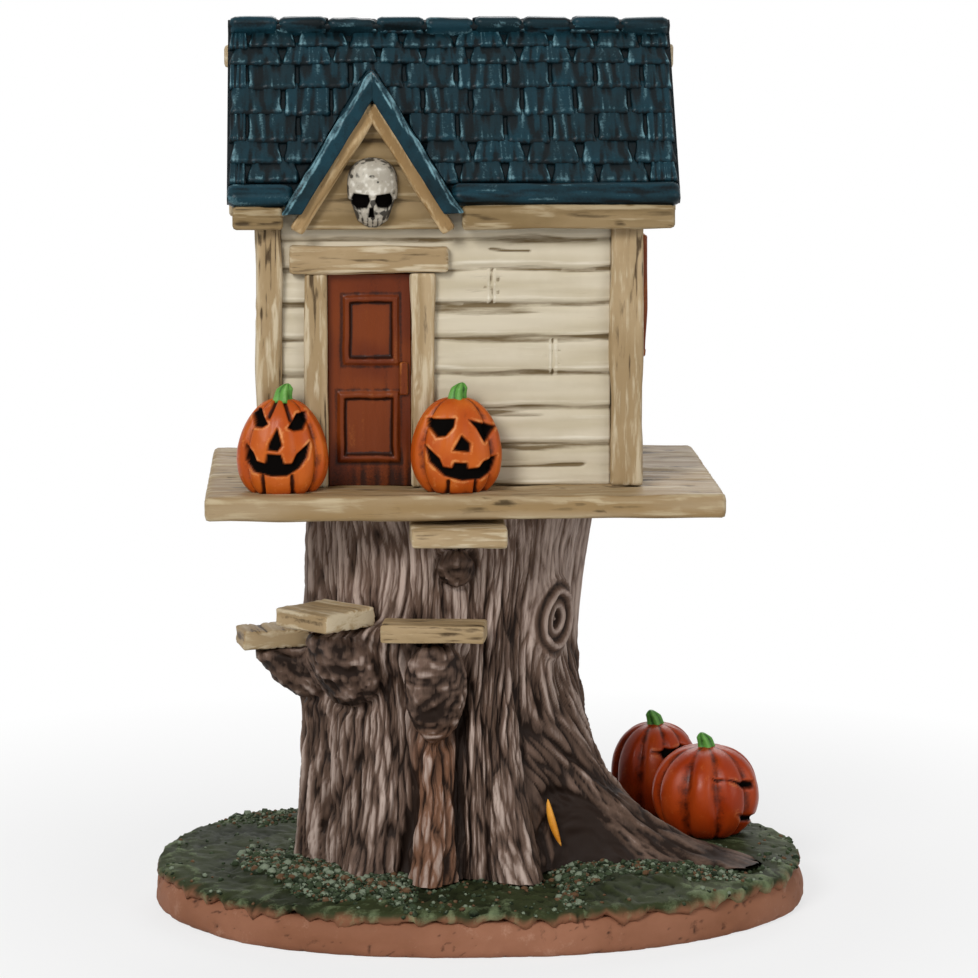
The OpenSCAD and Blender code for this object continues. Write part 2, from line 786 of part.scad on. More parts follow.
porch_left_x = post_left_edge + 4.8;
porch_right_x = door_cx + door_w / 2 + 8.5;
porch_y = post_front - 3.2;
porch_pumpkin_d = 13;
module at_porch(x, up) { translate([x, porch_y, deck_top + up]) children(); }
module porch_pumpkin(face) {
    pumpkin(porch_pumpkin_w, porch_pumpkin_d, porch_pumpkin_h, 10, 0.16, 3, -90, face);
}
module porch_pumpkin_left() { at_porch(porch_left_x, 0) porch_pumpkin(ANGRY_FACE); }
module porch_pumpkin_right() { at_porch(porch_right_x, 0) porch_pumpkin(MERRY_FACE); }
module porch_stem_left() { at_porch(porch_left_x, porch_pumpkin_h) pumpkin_stem(1.2, 0.8); }
module porch_stem_right() { at_porch(porch_right_x, porch_pumpkin_h) pumpkin_stem(1.2, 1); }

module at_front_spot(up) { translate([front_pumpkin_x, front_pumpkin_y, turf_top + up]) children(); }
module at_back_spot(up) { translate([back_pumpkin_x, back_pumpkin_y, turf_top + up]) children(); }
module ground_pumpkin_front() {
    w = front_pumpkin_w;
    at_front_spot(0) pumpkin(w, w, front_pumpkin_h, 11, 0.05, w, -6, SLY_FACE);
}
module ground_pumpkin_back() {
    w = back_pumpkin_w;
    at_back_spot(0) pumpkin(w, w, back_pumpkin_h, 10, 0.05, w, -14, SLOT_FACE);
}
module ground_stem_front() { at_front_spot(front_pumpkin_h) pumpkin_stem(1.3, -1); }
module ground_stem_back() { at_back_spot(back_pumpkin_h) pumpkin_stem(1.2, -0.8); }

base_plinth();
turf();
trunk();
root_light();
step_far_left();
step_left();
step_centre();
step_top();
deck();
front_wall();
back_wall();
left_wall();
right_wall();
post_front_left();
post_front_right();
post_back_left();
post_back_right();
door();
door_handle();
jamb_left();
jamb_right();
lintel();
window_frame();
window_pane();
roof_front();
roof_back();
ridge_beam();
eave_boards_front();
eave_board_back();
rake_boards_left();
rake_boards_right();
gable_roof_left();
gable_roof_right();
gable_wall();
gable_rake_left();
gable_rake_right();
skull();
porch_pumpkin_left();
porch_stem_left();
porch_pumpkin_right();
porch_stem_right();
ground_pumpkin_front();
ground_stem_front();
ground_pumpkin_back();
ground_stem_back();
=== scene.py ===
# %% [markdown]
# # A hand-painted tree house figurine
# The real thing is a table ornament: a resin cast of a boarded house on a stump, painted by hand in
# three passes. A flat coat goes on first, a thin dark wash then runs into every groove, and a nearly
# dry brush finally whitens the raised edges. So each mesh below is sculpted first and carries a
# `relief` number at every point (0 in a groove, 1 on a ridge). The paints read that number.

# %% Load the frame
import json
import math

import bpy
import numpy as np
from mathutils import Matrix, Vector
from mathutils.bvhtree import BVHTree

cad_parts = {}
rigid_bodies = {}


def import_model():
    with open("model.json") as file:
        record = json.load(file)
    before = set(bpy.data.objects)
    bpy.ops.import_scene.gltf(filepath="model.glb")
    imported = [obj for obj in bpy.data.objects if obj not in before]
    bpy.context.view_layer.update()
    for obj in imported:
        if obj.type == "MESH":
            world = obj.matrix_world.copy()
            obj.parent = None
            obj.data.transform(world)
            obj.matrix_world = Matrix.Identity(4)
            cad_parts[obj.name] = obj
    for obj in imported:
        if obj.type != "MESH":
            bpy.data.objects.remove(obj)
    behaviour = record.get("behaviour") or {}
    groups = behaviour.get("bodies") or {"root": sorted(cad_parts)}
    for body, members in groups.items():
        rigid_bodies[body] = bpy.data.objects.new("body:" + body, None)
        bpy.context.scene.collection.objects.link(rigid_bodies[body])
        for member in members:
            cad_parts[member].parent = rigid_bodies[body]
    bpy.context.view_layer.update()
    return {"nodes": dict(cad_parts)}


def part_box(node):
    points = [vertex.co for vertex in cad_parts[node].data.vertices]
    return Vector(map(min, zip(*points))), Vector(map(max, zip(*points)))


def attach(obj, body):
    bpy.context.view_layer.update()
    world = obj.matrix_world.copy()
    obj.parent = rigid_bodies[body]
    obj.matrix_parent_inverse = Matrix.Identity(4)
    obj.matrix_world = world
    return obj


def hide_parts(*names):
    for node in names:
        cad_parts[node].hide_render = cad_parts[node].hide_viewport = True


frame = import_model()
MM = 0.001


def corners(node):
    """Lowest and highest corner of a CAD node, in millimetres."""
    low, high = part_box(node)
    return np.array(low) / MM, np.array(high) / MM


# %% [markdown]
# ## Camera
# The camera stands where the photograph was taken from: a long lens, a little above the roof and a
# little to the left. The length of the lens in pixels was found by fitting the photograph.

# %% Camera
IMAGE_SIDE = 978
LENS_PIXELS = 3650
SENSOR = 36
camera_data = bpy.data.cameras.new("camera")
camera_data.sensor_width = SENSOR
camera_data.lens = LENS_PIXELS / IMAGE_SIDE * SENSOR
camera_data.clip_start = 0.05
camera = bpy.data.objects.new("camera", camera_data)
bpy.context.collection.objects.link(camera)
bpy.context.scene.camera = camera
yaw = math.radians(2.7)
pitch = math.radians(9.0)
target = Vector((2, 2, 83)) * MM
distance = 730 * MM
forward = Vector((math.sin(yaw) * math.cos(pitch), math.cos(yaw) * math.cos(pitch), -math.sin(pitch)))
camera.location = target - distance * forward
camera.rotation_euler = forward.to_track_quat("-Z", "Y").to_euler()
print("camera at", [round(v / MM) for v in camera.location], "mm, lens", round(camera_data.lens, 1))

# %% [markdown]
# ## Colours and nodes
# The colours of a paint are written as hex values, as on a web page, and the renderer wants them linear.
# Every material is a small graph of nodes. One helper adds a node and plugs in what feeds it.

# %% Colours and nodes
def linear(hex_colour):
    """An sRGB hex value as a linear RGBA colour."""
    channels = [int(hex_colour[i:i + 2], 16) / 255 for i in (1, 3, 5)]
    return [c / 12.92 if c <= 0.04045 else ((c + 0.055) / 1.055) ** 2.4 for c in channels] + [1.0]


def add(tree, kind, inputs=(), **settings):
    """A new node with its settings; an input is a constant, or a socket to link from."""
    node = tree.nodes.new(kind)
    for key, value in settings.items():
        setattr(node, key, value)
    for key, value in dict(inputs).items():
        socket = node.inputs[key]
        if isinstance(value, bpy.types.NodeSocket):
            tree.links.new(value, socket)
        else:
            socket.default_value = value
    return node


def per(size_mm):
    """The texture scale that makes one pattern cell the given size."""
    return 1 / (size_mm * MM)


def seen_directly(tree):
    """1 where a camera, mirror or glass ray arrives, 0 for light that bounces off a matt surface."""
    rays = add(tree, "ShaderNodeLightPath").outputs
    direct = rays["Is Camera Ray"]
    for kind in ("Is Glossy Ray", "Is Transmission Ray"):
        direct = add(tree, "ShaderNodeMath", {0: direct, 1: rays[kind]}, operation="MAXIMUM").outputs[0]
    return direct

print("one helper for colours and one for nodes")

# %% [markdown]
# ## The room
# Small figurines are photographed in a white tent. The world is bright to the camera and to mirrors,
# but it lights matt paint only weakly. So the shadows keep their depth, and a paint renders about as
# its hex value reads.

# %% World
scene = bpy.context.scene
scene.view_settings.view_transform = "Standard"
world = bpy.data.worlds.new("studio")
scene.world = world
world.use_nodes = True
tree = world.node_tree
tree.nodes.clear()
seen = seen_directly(tree)
ambient = add(tree, "ShaderNodeBackground", {"Color": (1, 1, 1, 1), "Strength": 0.24})
backdrop = add(tree, "ShaderNodeBackground", {"Color": (1, 1, 1, 1), "Strength": 1.0})
mixed = add(tree, "ShaderNodeMixShader", {0: seen, 1: ambient.outputs[0], 2: backdrop.outputs[0]})
add(tree, "ShaderNodeOutputWorld", {"Surface": mixed.outputs[0]})
print("world", world.name)

# %% [markdown]
# ## The paper
# The figurine stands on a sweep of white paper. Most of the white is a glow that only the camera and
# mirrors see, so the glow doesn't light the figurine from below. It is weaker near the base, and the
# paper shows a soft contact shadow there.

# %% Paper floor
floor_half = 3.0
floor_mesh = bpy.data.meshes.new("floor")
floor_mesh.from_pydata([(-floor_half, -floor_half, 0), (floor_half, -floor_half, 0),
                        (floor_half, floor_half, 0), (-floor_half, floor_half, 0)], [], [(0, 1, 2, 3)])
floor = bpy.data.objects.new("floor", floor_mesh)
bpy.context.collection.objects.link(floor)
floor_paint = bpy.data.materials.new("white_paper_sweep")
floor_paint.use_nodes = True
tree = floor_paint.node_tree
tree.nodes.clear()
paper = add(tree, "ShaderNodeBsdfDiffuse", {"Color": (0.8, 0.8, 0.8, 1)})
glow = add(tree, "ShaderNodeEmission", {"Color": (1, 1, 1, 1), "Strength": 1.0})
spot = add(tree, "ShaderNodeTexCoord").outputs["Object"]
far = add(tree, "ShaderNodeVectorMath", {0: spot}, operation="LENGTH").outputs["Value"]
even = add(tree, "ShaderNodeMapRange", {"Value": far, "From Min": 0.08, "From Max": 0.2, "To Min": 0.7,
                                        "To Max": 1.0}).outputs[0]
share = add(tree, "ShaderNodeMath", {0: seen_directly(tree), 1: even}, operation="MULTIPLY")
mixed = add(tree, "ShaderNodeMixShader", {0: share.outputs[0], 1: paper.outputs[0], 2: glow.outputs[0]})
add(tree, "ShaderNodeOutputMaterial", {"Surface": mixed.outputs[0]})
floor_mesh.materials.append(floor_paint)
print("paper", 2 * floor_half, "m wide")


# %% [markdown]
# ## The lamps
# A strong soft lamp at the front left models the forms, a weaker one at the right lifts the shadows,
# and one behind draws the edges of the roof. Large discs give soft shadows, as lamps behind cloth do.

# %% Lamps
def soft_light(name, place, aim, size, watts):
    """A round lamp that shines from a place towards a point; place, point and size are in metres."""
    data = bpy.data.lights.new(name, "AREA")
    data.shape = "DISK"
    data.size = size
    data.energy = watts
    lamp = bpy.data.objects.new(name, data)
    bpy.context.collection.objects.link(lamp)
    lamp.location = place
    lamp.rotation_euler = (Vector(aim) - Vector(place)).to_track_quat("-Z", "Y").to_euler()


MID_HEIGHT = 0.09
soft_light("key", (-0.55, -0.95, 0.75), (0, 0, MID_HEIGHT), 0.45, 9.8)
soft_light("fill", (0.9, -0.8, 0.45), (0, 0, MID_HEIGHT), 0.7, 3.6)
soft_light("back", (0.2, 1.1, 0.8), (0, 0, 0.1), 0.8, 5)
print("lamps:", len(bpy.data.lights))

# %% [markdown]
# ## Sculpting with numbers
# A cast has no sharp machine edges: every surface waves a little. Smooth random noise gives that. The
# noise here mixes fixed pseudo-random numbers from a lattice, so each run makes the same sculpture.

# %% Noise
def lattice(cells, seed):
    """One fixed number from -1 to 1 for each whole-number cell."""
    h = (cells[..., 0] * 73856093) ^ (cells[..., 1] * 19349663) ^ (cells[..., 2] * 83492791) ^ (seed * 9781)
    h = (h ^ (h >> 13)) * 1274126177
    h = (h ^ (h >> 16)) & 0xFFFF
    return h / 32767.5 - 1


def noise(points, size, seed=0):
    """Smooth noise from -1 to 1 with cells of the given size."""
    p = np.asarray(points, float) / size
    cell = np.floor(p).astype(np.int64)
    f = p - cell
    f = f * f * (3 - 2 * f)
    total = 0
    for corner in np.ndindex(2, 2, 2):
        weight = np.prod(np.where(np.array(corner) == 1, f, 1 - f), axis=-1)
        total = total + weight * lattice(cell + np.array(corner), seed)
    return total


def layered(points, size, seed=0, layers=3):
    """Noise with finer, weaker noise on top of it."""
    return sum(noise(points, size / 2 ** k, seed + k) / 2 ** k for k in range(layers)) / 1.5


def ridged(points, size, seed=0):
    """Rounded ropes with narrow valleys between them, from -1 in a valley to 1 on a crest."""
    return 2 * np.sqrt(np.abs(noise(points, size, seed))) - 1


def ramp(value, low, high):
    """0 up to low, 1 from high on, smooth between; low may be the larger of the two."""
    t = np.clip((value - low) / (high - low), 0, 1)
    return t * t * (3 - 2 * t)


def blend(first, second, share):
    """The first value where the share is 0, the second where it is 1."""
    return first + (second - first) * share


print("three samples of the noise:", noise(np.array([[0.5, 0, 0], [1.5, 0, 0], [2.5, 0, 0]]), 1.0).round(2))

# %% [markdown]
# ## From rings to pieces
# Nearly everything here is a stack of rings, as a potter builds a vase. A loft joins the rings and closes
# both ends. A piece puts some of these shapes into one object, paints it and hides the CAD parts it stands
# for.

# %% Shapes and pieces
def loft(rings, **marks):
    """A closed shape through rings of points (rows, around, 3): its points, faces and marks."""
    rows, around, _ = rings.shape
    index = np.arange(rows * around).reshape(rows, around)
    low, high = index[:-1], index[1:]
    quads = np.stack([low, np.roll(low, -1, 1), np.roll(high, -1, 1), high], -1).reshape(-1, 4)
    faces = [*quads.tolist(), index[0, ::-1].tolist(), index[-1].tolist()]
    spread = {key: np.broadcast_to(value, (rows, around)).reshape(-1) for key, value in marks.items()}
    return rings.reshape(-1, 3), faces, spread


def mark_points(mesh, key, values):
    """Store one number at each point of a mesh, under a name that paints and node trees read."""
    mesh.attributes.new(key, "FLOAT", "POINT").data.foreach_set("value", values.astype(np.float32))


def piece(name, shapes, paint, slot, *nodes):
    """One object from several shapes, riding on the figurine and standing for its CAD nodes."""
    points, faces, marks, count = [], [], {}, 0
    for shape_points, shape_faces, shape_marks in shapes:
        points.append(shape_points)
        faces += [[i + count for i in face] for face in shape_faces]
        for key, value in shape_marks.items():
            marks.setdefault(key, []).append(value)
        count += len(shape_points)
    mesh = bpy.data.meshes.new(name)
    mesh.from_pydata((np.concatenate(points) * MM).tolist(), [], faces)
    for key, value in marks.items():
        mark_points(mesh, key, np.concatenate(value))
    mesh.shade_smooth()
    mesh.materials.append(paint)
    made = bpy.data.objects.new(name, mesh)
    bpy.context.collection.objects.link(made)
    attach(made, "root")
    if nodes:
        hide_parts(*nodes)
    print(name, len(mesh.vertices), "points")
    return made


# %% [markdown]
# ## Paints
# All the paints are water-based acrylic on cast resin, from matt to satin. One recipe serves: coat,
# wash in the grooves, dry brush on the crests, a second tone in soft patches, and a fine grit of
# brush marks. What differs is the colours and how strongly each pass was laid on.

# %% Acrylic on resin
def acrylic(name, coat, second, wash, brush, patch_mm=6, wash_at=(0.42, 0.12), brush_at=(0.68, 0.95),
            wash_by=0.9, brush_by=0.6, rough=0.55, grit=0.25, grit_mm=0.5, run=(1, 1, 1), dabs=0.24,
            tint=None, cut=None, gloss=0.2):
    """A hand-painted finish that reads the `relief`, `streak`, `warm` and `cut` marks of the mesh."""
    paint = bpy.data.materials.new(name)
    paint.use_nodes = True
    tree = paint.node_tree
    tree.nodes.clear()
    place = add(tree, "ShaderNodeTexCoord").outputs["Object"]
    relief = add(tree, "ShaderNodeAttribute", attribute_name="relief").outputs["Fac"]
    streak = add(tree, "ShaderNodeAttribute", attribute_name="streak").outputs["Fac"]
    patches = add(tree, "ShaderNodeTexNoise", {"Vector": place, "Scale": per(patch_mm), "Detail": 4.0,
                                               "Roughness": 0.6}).outputs["Fac"]
    drawn = add(tree, "ShaderNodeVectorMath", {0: place, 1: run}, operation="MULTIPLY").outputs[0]
    marks = add(tree, "ShaderNodeTexNoise", {"Vector": drawn, "Scale": per(grit_mm), "Detail": 4.0,
                                             "Roughness": 0.75}).outputs["Fac"]
    mixed = add(tree, "ShaderNodeMath", {0: patches, 1: streak}, operation="ADD").outputs[0]
    second_by = add(tree, "ShaderNodeMapRange", {"Value": mixed, "From Min": 0.75,
                                                 "From Max": 1.25}).outputs[0]
    ragged = add(tree, "ShaderNodeMath", {0: marks, 1: 2 * dabs, 2: relief},
                 operation="MULTIPLY_ADD").outputs[0]
    ragged = add(tree, "ShaderNodeMath", {0: ragged, 1: dabs}, operation="SUBTRACT").outputs[0]
    in_groove = add(tree, "ShaderNodeMapRange", {"Value": ragged, "From Min": wash_at[0],
                                                 "From Max": wash_at[1], "To Max": wash_by}).outputs[0]
    on_crest = add(tree, "ShaderNodeMapRange", {"Value": ragged, "From Min": brush_at[0],
                                                "From Max": brush_at[1], "To Max": brush_by}).outputs[0]
    passes = [(second_by, second), (in_groove, wash), (on_crest, brush)]
    shine = gloss
    if tint:
        warm = add(tree, "ShaderNodeAttribute", attribute_name="warm").outputs["Fac"]
        passes.insert(1, (warm, tint))
    if cut:
        inside = add(tree, "ShaderNodeAttribute", attribute_name="cut").outputs["Fac"]
        passes.append((inside, cut))
        shine = add(tree, "ShaderNodeMath", {0: inside, 1: -gloss, 2: gloss},
                    operation="MULTIPLY_ADD").outputs[0]
    colour = linear(coat)
    for share, layer in passes:
        colour = add(tree, "ShaderNodeMix", {0: share, 6: colour, 7: linear(layer)},
                     data_type="RGBA").outputs[2]
    sheen = add(tree, "ShaderNodeMapRange", {"Value": patches, "From Min": 0.3, "From Max": 0.7,
                                             "To Min": rough - 0.07, "To Max": rough + 0.07}).outputs[0]
    grain = add(tree, "ShaderNodeBump", {"Height": marks, "Strength": grit, "Distance": 0.1 * MM}).outputs[0]
    shader = add(tree, "ShaderNodeBsdfPrincipled", {"Base Color": colour, "Roughness": sheen,
                                                    "Normal": grain, "Specular IOR Level": shine})
    add(tree, "ShaderNodeOutputMaterial", {"Surface": shader.outputs[0]})
    return paint


# %% [markdown]
# ## The palette
# Four colours make a finish: the coat, a second tone, the wash and the dry brush. The comment before
# each says what it gives the eye. Roughness near 0.7 is chalk, and near 0.36 a satin varnish.

# %% Mixed paints
# Fired-clay pink on the bare edge of the base: chalky, with dark pits and pale scuffs.
terracotta = acrylic("matt_acrylic_terracotta", "#895a41", "#9a6950", "#3f2519", "#cba28b", patch_mm=9,
                     rough=0.7)
# Grass green over near-black: the dark undercoat gives depth, and a clay tint shows at the worn rim.
turf_green = acrylic("matt_acrylic_turf", "#252a19", "#353b24", "#0a0d07", "#84936d", patch_mm=5, rough=0.6,
                     wash_at=(0.5, 0.15), brush_by=0.6, gloss=0.06, tint="#8d5f47")
# Crumbs of moss, brighter and bluer than the ground they sit on, with a few reddish ones among them.
moss_green = acrylic("matt_acrylic_moss", "#262f21", "#434f39", "#0a0d08", "#9fab93", patch_mm=1.2,
                     rough=0.7, dabs=0.3, gloss=0.06, tint="#6b4a35")
# Old bark: taupe ropes, nearly black crevices, and a pinkish-grey dry brush on every rope.
bark = acrylic("matt_acrylic_bark", "#5d493d", "#6f5a4e", "#140b07", "#c4b0a4", patch_mm=12, rough=0.55,
               wash_at=(0.56, 0.26), brush_at=(0.6, 0.93), brush_by=0.9,
               grit_mm=0.9, run=(1, 1, 0.15), dabs=0.2, grit=0.4, tint="#84573b", gloss=0.1)
# Sawn planks: warm tan with an olive wash in the grain and worn pale corners.
TAN = ("#9f8763", "#b29b78", "#3b2a15", "#dacdb1")
tan = acrylic("matt_acrylic_tan_boards", *TAN, patch_mm=8, run=(0.1, 1, 1), dabs=0.4, grit_mm=0.8, grit=0.5)
# The same mix on upright timber, with the brush drawn up and down.
tan_upright = acrylic("matt_acrylic_tan_posts", *TAN, patch_mm=8, run=(1, 1, 0.1), dabs=0.5, grit_mm=0.8,
                      grit=0.5)
# The deck's top is greyer where the wash was left to dry on the flat.
deck_paint = acrylic("matt_acrylic_weathered_deck", "#967c55", "#a48e6d", "#3d2e18", "#cdbd9c", patch_mm=14,
                     run=(0.07, 1, 1), dabs=0.4, grit_mm=0.9, grit=0.5)
# Cream siding: bone white boards with olive-brown lines where the wash pooled under each lap.
cream = acrylic("matt_acrylic_cream_siding", "#c1b59b", "#cfc4ad", "#5c4824", "#eae3d2", patch_mm=10,
                run=(0.1, 1, 1), dabs=0.26, grit_mm=0.9)
# Gable boards, one tone darker than the siding. The front eave boards take it too, as painted shade under the
# roof.
gable_tan_and_eave_shade = acrylic("matt_acrylic_gable_boards_and_eave_shade", "#7f6946", "#8f7956", "#35260f", "#bfae8d", patch_mm=7,
                    run=(0.12, 1, 1), dabs=0.3, grit_mm=0.8)
# The gable's rakes took more ochre than the rest of the timber.
ochre = acrylic("matt_acrylic_ochre_rakes", "#8f7148", "#9f8259", "#3b2612", "#ceb68e", patch_mm=6,
                dabs=0.36, run=(1, 1, 0.3))
# Russet door paint with a satin varnish, so its raised rims catch the light.
russet = acrylic("satin_acrylic_russet", "#622709", "#73330f", "#190803", "#b0692f", patch_mm=12, rough=0.38)
# Slate-blue roof paint with a satin varnish: very dark, with pale blue edges.
teal = acrylic("satin_acrylic_slate_teal", "#0e262d", "#133540", "#04090b", "#7fa9b3", patch_mm=7, rough=0.36,
               wash_at=(0.5, 0.2), brush_at=(0.62, 0.95), brush_by=0.85, dabs=0.24, gloss=0.14)
# Bone white with a black wash: the most contrasty paint on the figurine.
bone = acrylic("matt_acrylic_bone", "#bfb8a9", "#a8a091", "#110e0b", "#f1ede2", patch_mm=3, rough=0.5,
               cut="#0c0a09")
# Pumpkin orange with a satin varnish, red-brown in the creases and black inside the carved face.
orange = acrylic("satin_acrylic_pumpkin", "#b04b10", "#c05d19", "#4d1b07", "#efa862", patch_mm=6, rough=0.36,
                 cut="#0d0b0a")
# The pumpkins on the ground took a redder mix.
red_orange = acrylic("satin_acrylic_red_pumpkin", "#97310a", "#a63e10", "#380f05", "#d9824a", patch_mm=6,
                     rough=0.36, cut="#0d0b0a")
# Stem green, bright and a little glossy.
stem_paint = acrylic("satin_acrylic_stem", "#4c8433", "#5f9a42", "#21401a", "#94bd73", patch_mm=3, rough=0.4)
# Amber resin with a wet gloss, bright as a painted glow: it reads as lamp light because it is so much
# brighter than its hole.
amber = acrylic("clear_amber_resin", "#d98a26", "#eda43c", "#8a4c10", "#ffd27a", patch_mm=3, rough=0.25)
print("paints mixed:", len(bpy.data.materials))

# %% [markdown]
# ## The base
# The foot of the casting is an irregular oval. Its bare side was left rough in the mould, with pits and
# a few cracks, and was painted like fired clay. The rings below follow the outline of the CAD base and
# the noise roughens them.

# %% Terracotta base
def outline(node, angles, centre, heights):
    """Radius of a CAD node round an upright axis, found by casting rays inwards."""
    cad = frame["nodes"][node]
    solid = BVHTree.FromPolygons([cad.matrix_world @ v.co for v in cad.data.vertices],
                                 [p.vertices for p in cad.data.polygons])
    reach = 120.0
    found = np.zeros(angles.shape)
    for place in np.ndindex(angles.shape):
        way = Vector((math.cos(angles[place]), math.sin(angles[place]), 0))
        start = Vector((centre[0], centre[1], heights[place])) + way * reach
        hit = solid.ray_cast(start * MM, -way)
        found[place] = reach - hit[3] / MM if hit[0] else 0
    return found


around = np.linspace(0, 2 * np.pi, 420, endpoint=False)
# The height of each ring, and how far it is drawn in from the outline.
up = np.array([0.0, 0.0, 0.25, 0.8, *np.linspace(1.3, 6.4, 12), 6.8, 7.0])
inset = np.array([12.0, 1.0, 0.45, 0.15, *1.3 * np.linspace(0, 1, 12) ** 3, 1.7, 4.0])
A, Z = np.meshgrid(around, up)
radius = np.tile(outline("base_plinth", around, (0, 0), np.full(around.shape, 3.5)), (len(up), 1))
spot = np.stack([radius * np.cos(A), radius * np.sin(A), Z], -1)
rough = 0.35 * layered(spot, 6, 3) + 0.15 * noise(spot, 1.4, 5)
pits = ramp(noise(spot, 2.6, 8), 0.45, 0.8)
cracks = (1 - ramp(np.abs(noise(spot * [1, 1, 0.7], 7, 11)), 0.0, 0.05)) * ramp(noise(spot, 15, 12), 0.0, 0.4)
on_side = inset[:, None] < 3
crazing = ramp(ridged(spot, 2.0, 13), -0.5, -0.8)
swell = (rough - 0.25 * pits - 0.4 * cracks - 0.2 * crazing) * on_side
reach = radius - inset[:, None] + swell
rings = np.stack([reach * np.cos(A), reach * np.sin(A), Z], -1)
plinth = loft(rings, relief=np.clip(0.6 + 0.6 * rough - 0.25 * pits - 0.4 * cracks - 0.35 * crazing, 0, 1),
              streak=0.5 + 0.5 * noise(spot, 12, 4))
piece("base_plinth_cast", [plinth], terracotta, "terracotta_resin", "base_plinth")

# %% [markdown]
# ## The turf
# Sculptors press grass into the clay master with a stiff brush, so it is a field of small hooked lumps
# that curls over the rim. Two low mounds rise before the stump, where most of the moss will sit. At the
# rim the green was brushed on thinly and wears through to clay colour, which is the mark `warm`. The
# ground is one height field in polar rings, so its edge follows the outline of the CAD turf.

# %% Ground
MOUND_MIDDLES = (-31, 33)
turf_top = corners("turf")[1][2]
radius = outline("turf", around, (0, 0), np.full(around.shape, 8.6))
share = np.concatenate([[0.001], np.linspace(0.03, 0.97, 66), [0.99, 1.0, 1.005, 1.0, 0.985]])
drop = np.concatenate([0.8 * np.linspace(0, 1, 67) ** 8, [1.1, 1.5, 2.3, 3.0, 3.3]])
A, K = np.meshgrid(around, share)
spot = np.stack([radius * K * np.cos(A), radius * K * np.sin(A), 0 * K], -1)
swirl = spot + 2.2 * np.stack([noise(spot, 5, 27), noise(spot, 5, 28), 0 * K], -1)
lumps = 0.4 * ridged(swirl, 3.4, 21) + 0.4 * ridged(swirl, 1.7, 22) + 0.3 * noise(spot, 0.9, 19)
lumps = lumps + 0.3 * noise(spot, 16, 23)
hang = (0.9 * noise(spot, 3.2, 24) + 0.7 * noise(spot, 1.5, 29)) * ramp(K, 0.88, 1.0)
mounds = np.maximum(*(ramp(np.abs(spot[..., 0] - middle), 20, 13) for middle in MOUND_MIDDLES))
mounds = mounds * ramp(K, 0.9, 0.76) * ramp(spot[..., 1], -4, -10) * (1.3 + 0.6 * noise(spot, 3, 18))
sag = drop[:, None] * (1 + 0.36 * hang)
rise = turf_top - 0.4 + 0.7 * lumps * ramp(K, 0.0, 0.06) + mounds - sag
bare = 0.9 * ramp(sag + 0.8 * noise(spot, 1.5, 17) + 0.5 * noise(spot, 6, 16), 1.5, 3.0)
rim = 1 + 0.008 * hang
ground = np.stack([spot[..., 0] * rim, spot[..., 1] * rim, rise], -1)[::-1]
grass = np.clip(0.46 + 0.45 * lumps + 0.15 * ramp(K, 0.8, 1.0), 0, 1)
ground = loft(ground, relief=grass[::-1], streak=(0.5 + 0.5 * noise(spot, 9, 25))[::-1], warm=bare[::-1])
turf_piece = piece("turf_ground", [ground], turf_green, "turf_resin", "turf")

# %% [markdown]
# ## The stump
# This is the most sculpted part: ropes of bark that run from the roots to the deck, worn smooth at the upper
# right, with a ring knot, four knobbly stubs that carry the steps, and painted shade between the front roots
# where the hollow lies in shadow. A sculptor cuts such bark with a wire loop, and each stroke ends in a point
# between two others.
# Long cells give the same strokes here. Each point looks for the two nearest cell middles: it lies in a
# seam where both are equally far, and on a crest where one is much nearer.

# %% Bark strands
def strands_of(across, along, width, length, seed, count=1 << 40):
    """Long strands with pointed ends: how far each point lies from a seam, and its strand's number."""
    u, v = across / width, along / length
    cell_u = np.floor(u).astype(np.int64)
    near, next_near, number = np.full(u.shape, 9.0), np.full(u.shape, 9.0), np.zeros(u.shape)
    for du in (-1, 0, 1):
        column = (cell_u + du) % count
        slid = v + 3 * lattice(np.stack([column, 0 * column, 0 * column], -1), seed + 3)
        for dv in (-1, 0, 1):
            cell_v = np.floor(slid).astype(np.int64) + dv
            cell = np.stack([column, cell_v, 0 * column], -1)
            far = np.hypot(cell_u + du + 0.5 + 0.4 * lattice(cell, seed) - u,
                           cell_v + 0.5 + 0.4 * lattice(cell, seed + 1) - slid)
            closer = far < near
            next_near = np.where(closer, near, np.minimum(next_near, far))
            number = np.where(closer, lattice(cell, seed + 2), number)
            near = np.where(closer, far, near)
    return next_near - near, number


# %% [markdown]
# ## The large shape of the stump
# The CAD trunk has the flare, the roots and the stubs. Rays are cast at its axis on a grid that is finer
# at the front. A light smoothing, three times over, takes the facets out. The normals of this shell say
# which way the bark stands out.

# %% Stump shell
TRUNK_AXIS = (-6.0, 0.0)
trunk_low, trunk_high = corners("trunk")
sides, levels = 650, 150
around = np.linspace(0, 2 * np.pi, sides, endpoint=False)
around = around - 0.35 * np.cos(around)
up = trunk_low[2] + 0.03 + (trunk_high[2] - trunk_low[2] - 0.06) * np.linspace(0, 1, levels) ** 1.25
A, Z = np.meshgrid(around, up)
shell = outline("trunk", A, TRUNK_AXIS, Z)
for _ in range(3):
    shell = (np.roll(shell, 1, 1) + 2 * shell + np.roll(shell, -1, 1)) / 4
    shell[1:-1] = (shell[:-2] + 2 * shell[1:-1] + shell[2:]) / 4
height = Z - trunk_low[2]
turn = np.degrees(np.angle(np.exp(1j * A)))
smooth_bark = np.stack([TRUNK_AXIS[0] + shell * np.cos(A), TRUNK_AXIS[1] + shell * np.sin(A), Z], -1)
outward = np.cross(np.roll(smooth_bark, -1, 1) - np.roll(smooth_bark, 1, 1), np.gradient(smooth_bark, axis=0))
outward = outward / np.linalg.norm(outward, axis=-1, keepdims=True)
print("stump shell of", sides, "by", levels, "points, widest", shell.max().round(1), "mm from its axis")

# %% [markdown]
# ## Ropes, strands and hairs
# Old bark is a cord in three sizes: thick ropes, thinner strands on them and hairs on the strands. They
# run upwards, but on the long root they run out along it, and above the hollow they slant. The bark is
# worn at the upper right and under the deck, so the carving fades there.

